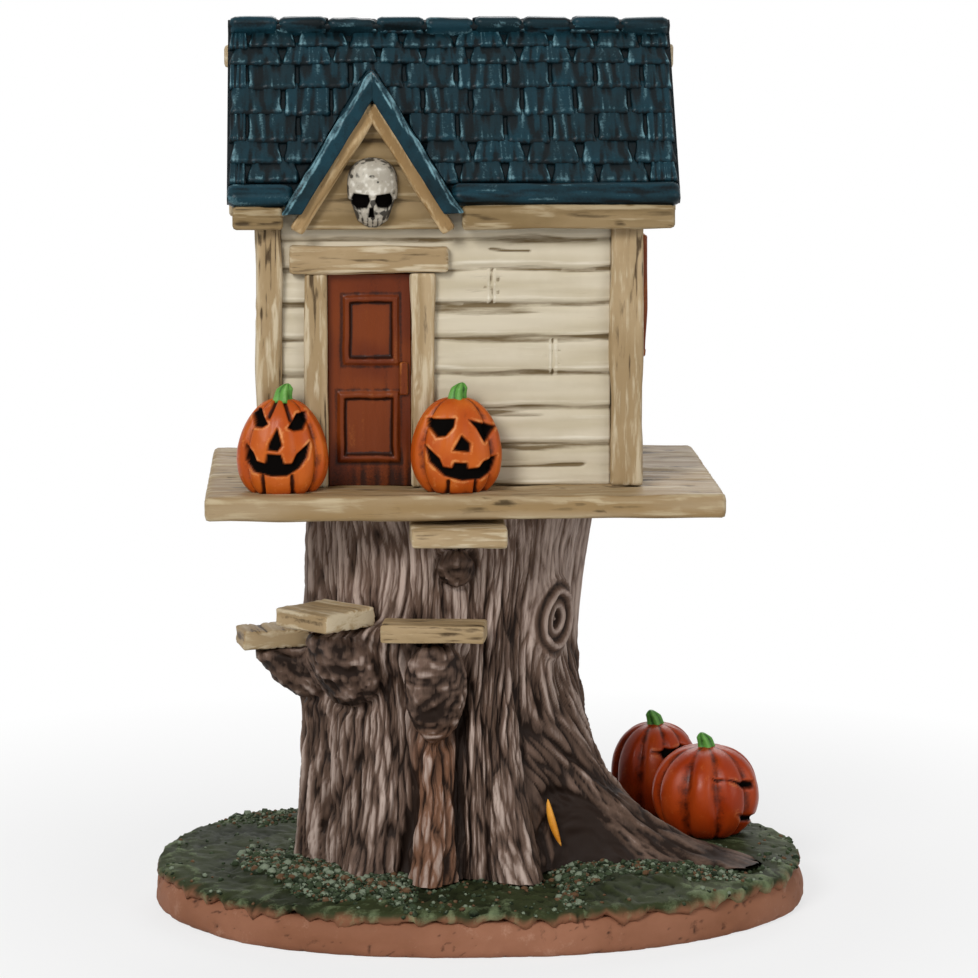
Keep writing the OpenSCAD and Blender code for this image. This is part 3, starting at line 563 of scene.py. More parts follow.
# %% Ropes, strands and hairs
BARK_RADIUS = 27
FULL_TURN = 2 * BARK_RADIUS * np.pi
ROPES, STRANDS, HAIRS = 34, 104, 230
wander = noise(np.stack([20 * np.cos(A), 20 * np.sin(A), Z / 2], -1), 9, 31)
flow = 0.5 * np.exp(-((turn + 22) / 24) ** 2) * ramp(height, 44, 4)
girth = BARK_RADIUS * (A - flow + 0.07 * wander)
ropes, _ = strands_of(girth, Z, FULL_TURN / ROPES, 34, 501, ROPES)
bent = girth + 0.35 * noise(smooth_bark, 3, 38)
threads, tone = strands_of(bent, Z, FULL_TURN / STRANDS, 15, 511, STRANDS)
on_root = ramp(shell, 33, 39) * (turn > -75) * (turn < 60)
crest = np.maximum.accumulate(np.where((turn > -60) & (turn < 40), shell, 0).max(1)[::-1])
below = np.interp(shell, crest, up[::-1]) - Z + 0.5 * noise(smooth_bark, 4, 39)
root_ropes, _ = strands_of(below, shell, 4.2, 30, 521)
root_threads, root_tone = strands_of(below + 0.3 * noise(smooth_bark, 3, 40), shell, 1.5, 12, 531)
slant = 0.8 * smooth_bark[..., 0] + 0.6 * Z + 0.4 * noise(smooth_bark, 4, 42)
slant_threads, slant_tone = strands_of(slant, 0.6 * smooth_bark[..., 0] - 0.8 * Z, 1.6, 12, 551)
above_hollow = ramp(turn, -54, -46) * ramp(turn, -14, -24) * ramp(height, 32, 24) * ramp(height, 9, 15)
above_hollow = above_hollow * ramp(shell, 44, 38)
ropes = blend(ropes, root_ropes, on_root)
threads = blend(blend(threads, root_threads, on_root), slant_threads, above_hollow)
tone = blend(blend(tone, root_tone, on_root), slant_tone, above_hollow)
bent = girth + 0.3 * noise(smooth_bark, 2, 43)
hairs, _ = strands_of(bent, Z, FULL_TURN / HAIRS, 9, 561, HAIRS)
hairs = ramp(hairs, 0.0, 0.4) * (1 - np.maximum(on_root, above_hollow))
crests = ramp(threads, 0.4, 0.8)
ropes, threads = ramp(ropes, 0.0, 0.32), ramp(threads, 0.0, 0.3)
fibres = noise(np.stack([girth, 0 * Z, Z / 12], -1), 0.7, 34)
worn = ramp(turn, -58, -44) * (1 - ramp(turn, 10, 30)) * ramp(height, 36, 46)
worn = np.maximum(worn, 0.55 * ramp(height, 44, 60))
strength = 1 - 0.65 * worn
carve = (0.9 * ropes + 0.75 * threads * (0.7 + 0.3 * tone) + 0.15 * fibres + 0.2 * hairs) * strength - 1.0
print("bark carved", carve.min().round(2), "to", carve.max().round(2), "mm from the shell")

# %% [markdown]
# ## Knot, clefts, hollow and stubs
# Where a branch was lost, a tree closes the wound in rings: that is the knot at the right. Two clefts run up
# between the roots, the hollow between the front ones is painted shade rather than carved, and rough burrs
# swell where the stubs carry the steps. Each is a soft mask round one turn and one height on the stump.

# %% Knot, clefts, hollow and stubs
# One degree round the stump is about half a millimetre of bark.
DEGREE_MM = 0.47
KNOT_TURN, KNOT_HEIGHT = -35, 49.7
# For each stub: turn in degrees, height, half width, half height and how far it swells, in mm.
STUBS = ((-98, 37.5, 6.8, 10.5, 2.4), (-139, 41.0, 8.5, 8.0, 1.6),
         (-89, 61.5, 4.2, 4.0, 1.6), (-163, 38.5, 6.0, 5.5, 0.8))
knot_far = np.hypot((turn - KNOT_TURN) * DEGREE_MM / 6.2, (height - KNOT_HEIGHT) / 8.2)
knot = (0.25 + 0.6 * np.cos(knot_far * 18.5)) * ramp(knot_far, 1.12, 0.9)
carve = carve * ramp(knot_far, 0.75, 1.15) + knot
cleft = ramp(np.abs(turn + 86 + 1.5 * np.sin(height / 9)), 3.4, 0.8) * ramp(height, 40, 26)
cleft = np.maximum(cleft, ramp(np.abs(turn + 112 - 0.2 * height), 4.0, 1.2) * ramp(height, 24, 10))
# Painted shade: the hollow between the front roots is only darkened, where it lies in shadow.
hollow_shade = ramp(np.abs(turn + 35 - 0.2 * height), 9.0, 3.5) * ramp(height, 17, 8)
hollow_shade = hollow_shade * (0.75 + 0.25 * noise(smooth_bark, 3, 41))
carve = carve - 1.8 * cleft
relief = 0.22 * ropes + 0.32 * threads + 0.16 * crests + 0.12 * fibres + 0.1 * tone + 0.2 * hairs
relief = relief * (1 - 0.5 * worn) + 0.52 * worn
relief = relief * ramp(knot_far, 0.8, 1.1) + (0.42 + 0.5 * knot) * (1 - ramp(knot_far, 0.8, 1.1))
burr = 0.6 * noise(smooth_bark, 2.6, 36) + 0.5 * ridged(smooth_bark, 1.5, 44)
burr = burr + 0.4 * noise(smooth_bark, 0.8, 37)
for at_turn, at_height, half_wide, half_high, swell in STUBS:
    far = np.hypot((turn - at_turn) * DEGREE_MM / half_wide, (height - at_height) / half_high)
    knob = np.sqrt(np.clip(1 - far ** 2, 0, 1))
    carve = carve * (1 - 0.8 * ramp(far, 1, 0.8)) + swell * knob + 0.7 * burr * knob
    carve = carve - 1.1 * ramp(np.abs(far - 1.06), 0.22, 0.03)
    relief = blend(relief, 0.42 + 0.5 * burr, ramp(far, 1.05, 0.85))
carve = carve * (ramp(height, 72.6, 69) * 0.8 + 0.2)
# The clefts take more dark wash, and the hollow takes painted shade.
relief = np.clip(relief - 0.5 * cleft - 0.9 * hollow_shade, 0, 1)
bark_rings = smooth_bark + outward * carve[..., None]
bark_rings[..., 2] = np.clip(bark_rings[..., 2], trunk_low[2] + 0.02, trunk_high[2] - 0.02)
warm = 0.55 * ramp(np.abs(turn + 100), 13, 7) * ramp(height, 34, 24)
stump = loft(bark_rings, relief=relief, streak=0.5 + 0.35 * tone * strength, warm=warm)
piece("stump_bark", [stump], bark, "bark_resin", "trunk")

# %% [markdown]
# ## Moss
# Ground foam is glued over the turf while the paint is wet: crumbs 0.3 to 1.1 mm across, thick on the
# mounds before the stump, in a hedge at the back left and in the angle between roots and ground.
# Geometry Nodes scatter six crumb shapes. The mark `thick` says where they lie close.

# %% Geometry Nodes helpers
def new_tree(name, *inputs):
    """An empty Geometry Nodes tree with a geometry in and out and the named inputs."""
    tree = bpy.data.node_groups.new(name, "GeometryNodeTree")
    tree.interface.new_socket("Geometry", in_out="INPUT", socket_type="NodeSocketGeometry")
    for label, kind in inputs:
        tree.interface.new_socket(label, in_out="INPUT", socket_type=kind)
    tree.interface.new_socket("Geometry", in_out="OUTPUT", socket_type="NodeSocketGeometry")
    return tree, add(tree, "NodeGroupInput")


def grown(source, tree, values, name):
    """Run a tree on an object and return the result as a plain mesh."""
    modifier = source.modifiers.new("grow", "NODES")
    modifier.node_group = tree
    for item in tree.interface.items_tree:
        if item.in_out == "INPUT" and item.name in values:
            modifier[item.identifier] = values[item.name]
    bpy.context.view_layer.update()
    seen = source.evaluated_get(bpy.context.evaluated_depsgraph_get())
    mesh = bpy.data.meshes.new_from_object(seen)
    mesh.name = name
    source.modifiers.remove(modifier)
    return mesh


# %% [markdown]
# ## Scattering
# The tree drops points on a mesh, more of them where `thick` is high, and puts a crumb on each: picked,
# turned and sized at random from a fixed seed.

# %% Scatter tree
scatter, given = new_tree("scatter_moss", ("Shapes", "NodeSocketCollection"),
                          ("Density", "NodeSocketFloat"), ("Smallest", "NodeSocketFloat"),
                          ("Largest", "NodeSocketFloat"), ("Seed", "NodeSocketInt"),
                          ("Paint", "NodeSocketMaterial"))
thick = add(scatter, "GeometryNodeInputNamedAttribute", {"Name": "thick"}, data_type="FLOAT")
crowd = add(scatter, "ShaderNodeMath", {0: thick.outputs[0], 1: given.outputs["Density"]},
            operation="MULTIPLY")
dots = add(scatter, "GeometryNodeDistributePointsOnFaces", {
    "Mesh": given.outputs["Geometry"], "Density": crowd.outputs[0], "Seed": given.outputs["Seed"]})
stock = add(scatter, "GeometryNodeCollectionInfo", {"Collection": given.outputs["Shapes"],
                                                    "Separate Children": True, "Reset Children": True})
spin = add(scatter, "FunctionNodeRandomValue", {0: (-0.6, -0.6, 0), 1: (0.6, 0.6, 6.28),
                                                "Seed": given.outputs["Seed"]}, data_type="FLOAT_VECTOR")
grow_by = add(scatter, "FunctionNodeRandomValue", {
    2: given.outputs["Smallest"], 3: given.outputs["Largest"], "Seed": given.outputs["Seed"]},
    data_type="FLOAT")
laid = add(scatter, "GeometryNodeInstanceOnPoints", {
    "Points": dots.outputs["Points"], "Instance": stock.outputs[0], "Pick Instance": True,
    "Rotation": spin.outputs[0], "Scale": grow_by.outputs[1]})
solid = add(scatter, "GeometryNodeRealizeInstances", {"Geometry": laid.outputs[0]})
painted = add(scatter, "GeometryNodeSetMaterial", {"Geometry": solid.outputs[0],
                                                   "Material": given.outputs["Paint"]})
add(scatter, "NodeGroupOutput", {"Geometry": painted.outputs[0]})
print("scatter tree of", len(scatter.nodes), "nodes")

# %% [markdown]
# ## Crumbs
# A crumb of foam is a small ragged lump. Each one is a ball of twenty triangles, bent by noise. One of
# the six is pale from the dry brush, and one is reddish, as where clay shows through.

# %% Crumb shapes
# How light each shape is at its middle; the third is the pale one.
CRUMB_RELIEF = (0.4, 0.45, 0.95, 0.3, 0.4, 0.5)
REDDISH = 4
crumbs = bpy.data.collections.new("crumb_shapes")
scene.collection.children.link(crumbs)
golden = (1 + 5 ** 0.5) / 2
ball = np.array([(-1, golden, 0), (1, golden, 0), (-1, -golden, 0), (1, -golden, 0),
                 (0, -1, golden), (0, 1, golden), (0, -1, -golden), (0, 1, -golden),
                 (golden, 0, -1), (golden, 0, 1), (-golden, 0, -1), (-golden, 0, 1)])
ball_faces = [(0, 11, 5), (0, 5, 1), (0, 1, 7), (0, 7, 10), (0, 10, 11), (1, 5, 9), (5, 11, 4),
              (11, 10, 2), (10, 7, 6), (7, 1, 8), (3, 9, 4), (3, 4, 2), (3, 2, 6), (3, 6, 8), (3, 8, 9),
              (4, 9, 5), (2, 4, 11), (6, 2, 10), (8, 6, 7), (9, 8, 1)]
for k, lightness in enumerate(CRUMB_RELIEF):
    lump = ball / 1.9 * (1 + 0.35 * noise(ball + 13 * k, 1.1, k))[:, None] * [1, 1, 0.85]
    mesh = bpy.data.meshes.new(f"crumb_{k}")
    mesh.from_pydata(lump.tolist(), [], ball_faces)
    # Each crumb is lighter at its top and darker below: a painted highlight and painted shade.
    mark_points(mesh, "relief", np.clip(lightness + 0.5 * lump[:, 2], 0, 1))
    mark_points(mesh, "streak", np.full(len(lump), 0.5 + 0.45 * math.sin(5.1 * k)))
    mark_points(mesh, "warm", np.full(len(lump), 0.8 if k == REDDISH else 0.0))
    mesh.shade_smooth()
    crumbs.objects.link(bpy.data.objects.new(f"crumb_{k}", mesh))

# %% [markdown]
# ## Where the moss lies
# The foam sticks where the glue was brushed on. Near the stump the distance to its foot decides, and
# the two pumpkins on the ground keep their places clear. Fine crumbs go on first, then larger lumps.

# %% Scattered moss
PUMPKIN_FRONT, PUMPKIN_BACK = (47, 10.5), (38.2, 27.8)
RIM_HEIGHT = 7.9
places = np.empty(3 * len(turf_piece.data.vertices))
turf_piece.data.vertices.foreach_get("co", places)
places = places.reshape(-1, 3) / MM
east, north = places[:, 0] - TRUNK_AXIS[0], places[:, 1] - TRUNK_AXIS[1]
foot = np.interp(np.arctan2(north, east) % (2 * np.pi), around, shell[2], period=2 * np.pi)
gap = np.hypot(east, north) - foot
front_clump = ramp(np.abs(places[:, 0] + 31), 19, 12) + ramp(np.abs(places[:, 0] - 32), 20, 14)
thick = 0.03 + 0.35 * ramp(noise(places, 9, 26), 0.15, 0.6) + 0.8 * ramp(gap, 3, 0.5)
ragged_gap = gap + 1.5 * noise(places, 2.5, 30)
thick = (thick + 3.6 * ramp(ragged_gap, 14.5, 12.0) * front_clump * (places[:, 1] < 0)) * (gap > -0.6)
thick = thick + ramp(np.hypot((places[:, 0] + 42) / 14, (places[:, 1] - 30) / 9), 1.2, 0.5)
for (x, y), clear in ((PUMPKIN_FRONT, 8.5), (PUMPKIN_BACK, 7)):
    thick = thick * (np.hypot(places[:, 0] - x, places[:, 1] - y) > clear)
thick = thick * (places[:, 2] > RIM_HEIGHT)
bed = bpy.data.objects.new("moss_bed", turf_piece.data.copy())
scene.collection.objects.link(bed)
mark_points(bed.data, "thick", thick)
# Name, crumbs per square metre, smallest and largest crumb in mm, seed.
SOWINGS = (("moss_fine", 0.75e6, 0.28, 0.6, 3), ("moss_lumps", 0.09e6, 0.6, 1.1, 8))
for name, density, small, large, seed in SOWINGS:
    mesh = grown(bed, scatter, {"Shapes": crumbs, "Density": density, "Smallest": small * MM,
                                "Largest": large * MM, "Seed": seed, "Paint": moss_green}, name)
    moss = bpy.data.objects.new(name, mesh)
    bpy.context.collection.objects.link(moss)
    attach(moss, "root")
    print(name, len(mesh.polygons), "faces")
bpy.data.objects.remove(bed)
for shape in list(crumbs.objects):
    bpy.data.objects.remove(shape)
bpy.data.collections.remove(crumbs)

# %% [markdown]
# ## The section of a board
# Old timber has lost its sharp corners. The section of every board is a rectangle with rounded corners,
# and each of its points knows which way it faces and how near a corner it is.

# %% Rounded section
def rounded_loop(width, height, edge, step):
    """Points round a rounded rectangle, their normals, and how near each lies to a corner."""
    bend = np.radians([0, 30, 60, 90])
    points, normals = [], []
    for quarter in range(4):
        spin = np.array([[math.cos(quarter * np.pi / 2), math.sin(quarter * np.pi / 2)],
                         [-math.sin(quarter * np.pi / 2), math.cos(quarter * np.pi / 2)]])
        half = np.array([width, height]) / 2 if quarter % 2 == 0 else np.array([height, width]) / 2
        run = 2 * (half[1] - edge)
        count = max(1, round(run / step))
        flat = -run / 2 + run * np.arange(count) / count
        side = np.stack([np.full(count, half[0]), flat], -1)
        arc = np.stack([half[0] - edge + edge * np.cos(bend), half[1] - edge + edge * np.sin(bend)], -1)
        points.append(np.concatenate([side, arc[:-1]]) @ spin)
        turning = np.stack([np.cos(bend), np.sin(bend)], -1)
        normals.append(np.concatenate([np.tile([1.0, 0.0], (count, 1)), turning[:-1]]) @ spin)
    points, normals = np.concatenate(points), np.concatenate(normals)
    gap = np.abs(np.abs(points) - np.array([width, height]) / 2)
    return points, normals, np.exp(-gap.sum(-1) / 0.7)


# %% [markdown]
# ## Carved boards
# The posts, steps, deck and trim were whittled in clay to look like old timber: soft corners, long
# grain, a few cracks and knots. One function makes them all. It draws the section along the length and
# cuts the grain into it. The sawn ends have no grain lines and take more of the dry brush.

# %% Board maker
def board(size, centre, along=(1, 0, 0), upward=(0, 0, 1), step=0.32, edge=0.5, wave=0.2, grain=0.18,
          crack=0.4, seed=0, planks=0.0):
    """A carved plank of the given length, width and thickness, as a shape."""
    length, width, height = size
    edge = min(edge, 0.45 * min(width, height))
    loop, facing, corner = rounded_loop(width, height, edge, step)
    body = np.linspace(edge, length - edge, max(4, round(length / step / 1.3)))
    place = np.concatenate([[0, 0, 0, 0.29 * edge], body, [length - 0.29 * edge, length, length, length]])
    shrink = np.concatenate([[edge] * 3, [0.29 * edge], 0 * body, [0.29 * edge], [edge] * 3])
    keep = np.concatenate([[0.05, 0.5, 1, 1], np.ones(len(body)), [1, 1, 0.5, 0.05]])
    flat = loop[None] * (1 - 2 * shrink[:, None, None] / np.array([width, height])) * keep[:, None, None]
    S = np.broadcast_to(place[:, None], flat.shape[:2])
    at = np.stack([S, flat[..., 0], flat[..., 1]], -1) + 37 * seed
    fine = noise(at / [10, 1, 1], 0.9, seed)
    broad = noise(at / [13, 1, 1], 2.4, seed + 1)
    split = ramp(broad, 0.4, 0.8)
    girth = np.cumsum(np.linalg.norm(loop - np.roll(loop, 1, 0), axis=-1))[None]
    girth = girth + 0.6 * noise(at / [4, 1, 1], 2.0, seed + 6)
    seam, _ = strands_of(girth, S, 1.1, 24, seed + 7)
    pale = ramp(np.abs(seam - 0.3), 0.2, 0.05)
    seam = ramp(seam, 0.2, 0.02) * ramp(noise(at / [5, 1, 1], 3.0, seed + 8), -0.3, 0.4)
    seam, pale = seam * (keep > 0.9)[:, None], pale * (keep > 0.9)[:, None]
    if planks:
        share = (flat[..., 0] / planks + 0.06 * noise(at / [9, 1, 1], 3, seed + 5)) % 1
        split = np.maximum(split, ramp(np.abs(share - 0.5), 0.44, 0.49))
    knots = ramp(noise(at / [1.7, 1, 1], 4.2, seed + 2), 0.62, 0.85)
    ends = np.exp(-np.minimum(place, length - place) / 0.8)[:, None]
    move = wave * noise(at, 9, seed + 3) + grain * fine - crack * split - 0.2 * knots - grain * seam
    full = flat + facing[None] * (move * (keep[:, None] > 0.9))[..., None]
    worn = np.maximum(np.broadcast_to(corner, flat.shape[:2]), ends)
    relief = 0.55 + 0.34 * fine + 0.16 * broad - 0.45 * split - 0.35 * knots + 0.3 * worn
    relief = relief - 0.4 * seam + 0.16 * pale
    end_grain = ((place <= 0) | (place >= length))[:, None]
    relief = np.clip(np.where(end_grain, 0.82 + 0.4 * noise(at, 1.6, seed + 9), relief), 0, 1)
    streak = np.clip(0.5 + 0.6 * noise(at / [16, 1, 1], 1.5, seed + 4) * ~end_grain, 0, 1)
    ax = np.array(along, float) / np.linalg.norm(along)
    ay = np.cross(upward, ax) / np.linalg.norm(np.cross(upward, ax))
    az = np.cross(ax, ay)
    rings = np.stack([S - length / 2, full[..., 0], full[..., 1]], -1) @ np.array([ax, ay, az]) + centre
    return loft(rings, relief=relief, streak=streak)


def board_in(node, along, **how):
    """A carved plank that fills the box of a CAD node."""
    low, high = corners(node)
    axis = "xyz".index(along)
    other = [i for i in range(3) if i != axis]
    way = np.eye(3)[axis]
    upward = np.eye(3)[other[1]]
    return board((high[axis] - low[axis], high[other[0]] - low[other[0]], high[other[1]] - low[other[1]]),
                 (low + high) / 2, way, upward, **how)


# %% [markdown]
# ## Posts, door surround, ridge beam and deck
# Each of these fills the box of its CAD part; only the ridge beam is a little slimmer. Those at the
# front are carved on a finer grid than the ones at the back, because the camera sees them close. The
# deck is one board with the joints of its planks cut in, as the mould has it.

# %% Straight timber
for seed, node in enumerate(["post_front_left", "post_front_right", "post_back_left", "post_back_right"]):
    post = board_in(node, "z", edge=0.7, wave=0.3, grain=0.3, crack=0.6, seed=40 + 7 * seed,
                    step=0.32 if "front" in node else 0.5)
    piece(node + "_carved", [post], tan_upright, "trim_resin", node)
for seed, node in enumerate(["jamb_left", "jamb_right"]):
    jamb = board_in(node, "z", edge=0.5, seed=70 + 7 * seed)
    piece(node + "_carved", [jamb], tan_upright, "trim_resin", node)
for seed, node in enumerate(["lintel", "eave_board_back"]):
    plank = board_in(node, "x", edge=0.6, wave=0.3, seed=90 + 7 * seed,
                     step=0.32 if node == "lintel" else 0.5)
    piece(node + "_carved", [plank], tan, "trim_resin", node)
low, high = corners("ridge_beam")
beam = board((high - low) * [1, 0.72, 0.85], (low + high) / 2 - [0, 0, 0.7], edge=0.7, step=0.6, seed=110)
piece("ridge_beam_carved", [beam], tan, "trim_resin", "ridge_beam")
PLANK_WIDTH = 7.4
deck = board_in("deck", "x", step=0.8, edge=0.9, wave=0.25, crack=0.4, seed=120, planks=PLANK_WIDTH)
piece("deck_carved", [deck], deck_paint, "deck_resin", "deck")

# %% [markdown]
# ## Steps
# Four short treads sit on the branch stubs, each turned to face out from the stump. The table gives the
# turn of each tread in degrees and how strongly it was brushed; its length, width and thickness come
# from the corners of the CAD tread.

# %% Treads
TREADS = {"step_far_left": (-166, 0.85), "step_left": (-137, 1.15),
          "step_centre": (-98, 0.75), "step_top": (-89, 1.0)}
for seed, (node, (turn_deg, brushed)) in enumerate(TREADS.items()):
    cad = frame["nodes"][node]
    spots = np.array([cad.matrix_world @ v.co for v in cad.data.vertices]) / MM
    turn_to = math.radians(turn_deg + 90)
    along = np.array([math.cos(turn_to), math.sin(turn_to), 0])
    across = np.array([-along[1], along[0], 0])
    low = np.array([(spots @ along).min(), (spots @ across).min(), spots[:, 2].min()])
    high = np.array([(spots @ along).max(), (spots @ across).max(), spots[:, 2].max()])
    middle = (low + high) / 2
    centre = middle[0] * along + middle[1] * across + [0, 0, middle[2]]
    points, faces, marks = board(high - low, centre, along, step=0.35, edge=0.45, wave=0.2, crack=0.2,
                                 seed=151 + 7 * seed)
    marks["relief"] = np.clip(brushed * marks["relief"], 0, 1)
    piece(node + "_carved", [(points, faces, marks)], tan, "trim_resin", node)

# %% [markdown]
# ## Walls
# Clapboard is laid from the ground up, each board lapping the one below, so every board stands proud
# at its lower edge. A height field shows that well: it leans out towards the lap and then steps back.
# Thin wash pools under each lap and gives the dark lines.

# %% Wall maker
def sheet_of(x, z, front, back, relief, streak, turn=0.0):
    """A wall that faces -Y before it is turned: its carved front, closed by a flat back."""
    ends = np.stack([np.stack([x[:, -1], np.full(len(x), back), z[:, -1]], -1),
                     np.stack([x[:, 0], np.full(len(x), back), z[:, 0]], -1)], 1)
    rings = np.concatenate([np.stack([x, front, z], -1), ends], 1)
    pad = np.full((len(x), 2), 0.5)
    c, s = math.cos(turn), math.sin(turn)
    rings = rings @ np.array([[c, s, 0], [-s, c, 0], [0, 0, 1]])
    return loft(rings, relief=np.concatenate([relief, pad], 1), streak=np.concatenate([streak, pad], 1))


def clapboards(x, z, laps, seed, joints=(), proud=0.9):
    """Depth, relief and streak of lapped boards; a joint is (x, board) where two boards meet."""
    flat = np.stack([x, 0 * x, z], -1)
    wavy = z + 0.3 * noise(flat / [1, 1, 3], 9, seed)
    row = np.clip(np.searchsorted(laps, wavy) - 1, 0, len(laps) - 2)
    tall = np.diff(laps)[row]
    rise = wavy - np.array(laps)[row]
    at = np.stack([x / 12, 5.0 * row, z], -1)
    fine, broad = noise(at, 0.8, seed + 1), noise(at, 2.2, seed + 2)
    split = ramp(broad, 0.55, 0.85)
    edge = np.minimum(rise, tall - rise)
    depth = proud * (1 - 0.35 * rise / tall) * ramp(edge, -0.3, 1.1) + 0.12 * fine - 0.2 * split
    pool = ramp(edge + 0.5 * noise(flat / [4, 1, 1], 2.2, seed + 4), 0.95, 0.25)
    relief = 0.58 + 0.16 * fine + 0.1 * broad - 0.42 * split - 0.4 * pool
    relief = relief + 0.25 * ramp(np.abs(rise - 1.3), 0.5, 0.1)
    for joint_x, board_row in joints:
        here = row == board_row
        slit = ramp(np.abs(x - joint_x + 0.1 * np.sin(z)), 0.35, 0.1) * here
        ridge = ramp(np.abs(np.abs(x - joint_x) - 0.5), 0.3, 0.1) * here
        depth, relief = depth - 0.4 * slit + 0.2 * ridge, relief - 0.3 * slit + 0.3 * ridge
        for side in (-1, 1):
            for share in (0.32, 0.68) if side > 0 else (0.5,):
                nail = ramp(np.hypot(x - joint_x - 1.2 * side, rise - share * tall), 0.5, 0.2) * here
                depth, relief = depth - 0.2 * nail, relief - 0.3 * nail
    streak = np.clip(0.5 + 0.55 * noise(np.stack([x / 16, 5.0 * row, z], -1), 1.6, seed + 3), 0, 1)
    return depth, np.clip(relief, 0, 1), streak


# %% [markdown]
# ## Front wall
# All four walls share the heights of their laps, so the boards meet at the corners. On the front wall
# two boards have split lengthwise, and a shallow recess takes the door.

# %% Front wall
LAPS = [87.0, 95.4, 102.4, 109.1, 115.9, 122.6, 129.3, 135.0, 141.5, 148.2, 154.8, 161.4, 168.0, 174.6]
LAP_DEPTH = 0.75
RIDGE_Z, ROOF_SLOPE = 177.0, 1.222
# How far below the roof's surface the end walls stop.
WALL_BELOW_ROOF = 5.2
WINDOW_Z = 122.7
front_low, front_high = corners("front_wall")
door_low, door_high = corners("door")
X, Z = np.meshgrid(np.linspace(front_low[0], front_high[0], 165),
                   np.linspace(front_low[2], front_high[2], 145))
depth, relief, streak = clapboards(X, Z, LAPS, 200, joints=[(1.4, 5), (13.2, 3)])
slits = ramp(np.abs(Z - 91.0 - 0.02 * X), 0.45, 0.15) * ramp(np.abs(X - 11), 9, 7.5)
slits = np.maximum(slits, ramp(np.abs(Z - 133.2 + 0.05 * X), 0.35, 0.1) * ramp(np.abs(X - 4.8), 4.5, 3.5))
doorway = ramp(np.abs(X - (door_low[0] + door_high[0]) / 2), 8.4, 7.9)
doorway = doorway * ramp(Z, door_high[2] + 0.6, door_high[2])
front = front_low[1] + LAP_DEPTH - depth + 0.5 * slits + doorway * 1.9
wall = sheet_of(X, Z, front, front_high[1], np.clip(relief - 0.6 * slits, 0, 1), streak)
piece("front_wall_siding", [wall], cream, "siding_resin", "front_wall")

# %% [markdown]
# ## Back wall
# The back is a plain run of boards with three joints. It is made as if it faced the front and then
# turned half round.

# %% Back wall
back_low, back_high = corners("back_wall")
X, Z = np.meshgrid(np.linspace(-back_high[0], -back_low[0], 90), np.linspace(back_low[2], back_high[2], 115))
depth, relief, streak = clapboards(X, Z, LAPS, 210, joints=[(-12, 2), (9, 4), (20, 6)])
wall = sheet_of(X, Z, -back_high[1] + LAP_DEPTH - depth, -back_low[1], relief, streak, math.pi)
piece("back_wall_siding", [wall], cream, "siding_resin", "back_wall")

# %% [markdown]
# ## End walls
# The end walls narrow under the slopes of the roof, so each row of points is as wide as the roof leaves
# room for. The right wall has a shallow recess for its window.

# %% End walls
for node, turn_to, seed in (("left_wall", -math.pi / 2, 220), ("right_wall", math.pi / 2, 230)):
    low, high = corners(node)
    half = (high[1] - low[1]) / 2
    levels = np.linspace(low[2], high[2], 150)
    reach = np.clip((RIDGE_Z - WALL_BELOW_ROOF - levels) / ROOF_SLOPE, 0.4, half)
    X, Z = np.linspace(-1, 1, 70)[None] * reach[:, None], np.tile(levels[:, None], (1, 70))
    depth, relief, streak = clapboards(X, Z, LAPS, seed, joints=[(-8, 2), (6, 8)])
    face, rear = (high[0], low[0]) if node == "right_wall" else (-low[0], -high[0])
    if node == "right_wall":
        depth = depth - 1.2 * ramp(np.abs(X), 7.4, 7.0) * ramp(np.abs(Z - WINDOW_Z), 10.7, 10.3)
    wall = sheet_of(X, Z, -face + LAP_DEPTH - depth, -rear, relief, streak, turn_to)
    piece(node + "_siding", [wall], cream, "siding_resin", node)

# %% [markdown]
# ## Door
# The door is moulded shut: a russet slab with two sunken panels inside raised rims. Its height field is
# made from the distance to each panel's edge, so rim, groove and panel all follow the same line.

# %% Door
# Left, right, bottom and top of the two panels.
PANELS = ((-28.0, -16.6, 92.4, 105.6), (-27.0, -16.6, 111.2, 124.2))
X, Z = np.meshgrid(np.linspace(door_low[0], door_high[0], 90), np.linspace(door_low[2], door_high[2], 160))
flat = np.stack([X, 0 * X, Z], -1)
fine = noise(flat / [1, 1, 9], 0.9, 241)
height, relief = 0.08 * fine, 0.5 + 0.15 * fine
for x0, x1, z0, z1 in PANELS:
    inside = np.minimum(np.minimum(X - x0, x1 - X), np.minimum(Z - z0, z1 - Z))
    inside = inside + 0.12 * noise(flat, 3, 243)
    rim = ramp(np.abs(inside - 0.5), 0.9, 0.2)
    sunk = ramp(inside, 0.9, 1.5)
    height = height + 0.55 * rim - 0.45 * sunk
    relief = relief + 0.12 * rim - 0.5 * ramp(np.abs(inside - 1.3), 0.6, 0.1) + 0.08 * sunk
    relief = relief - 0.25 * ramp(np.abs(inside + 0.55), 0.5, 0.1)
relief = relief - 0.35 * ramp(Z, door_low[2] + 9, door_low[2])
slab = sheet_of(X, Z, door_low[1] + 0.45 - height, door_high[1], np.clip(relief, 0, 1),
                0.5 + 0.5 * noise(flat, 7, 244))
piece("door_moulded", [slab], russet, "russet_resin", "door")
handle = board_in("door_handle", "z", step=0.25, edge=0.5, wave=0.1, crack=0.1, seed=250)
piece("door_handle_moulded", [handle], russet, "dark_resin", "door_handle")

# %% [markdown]
# ## Window
# The window's frame stands out past the right wall. Four rails go round the opening, and two thin bars
# cross before an amber pane.

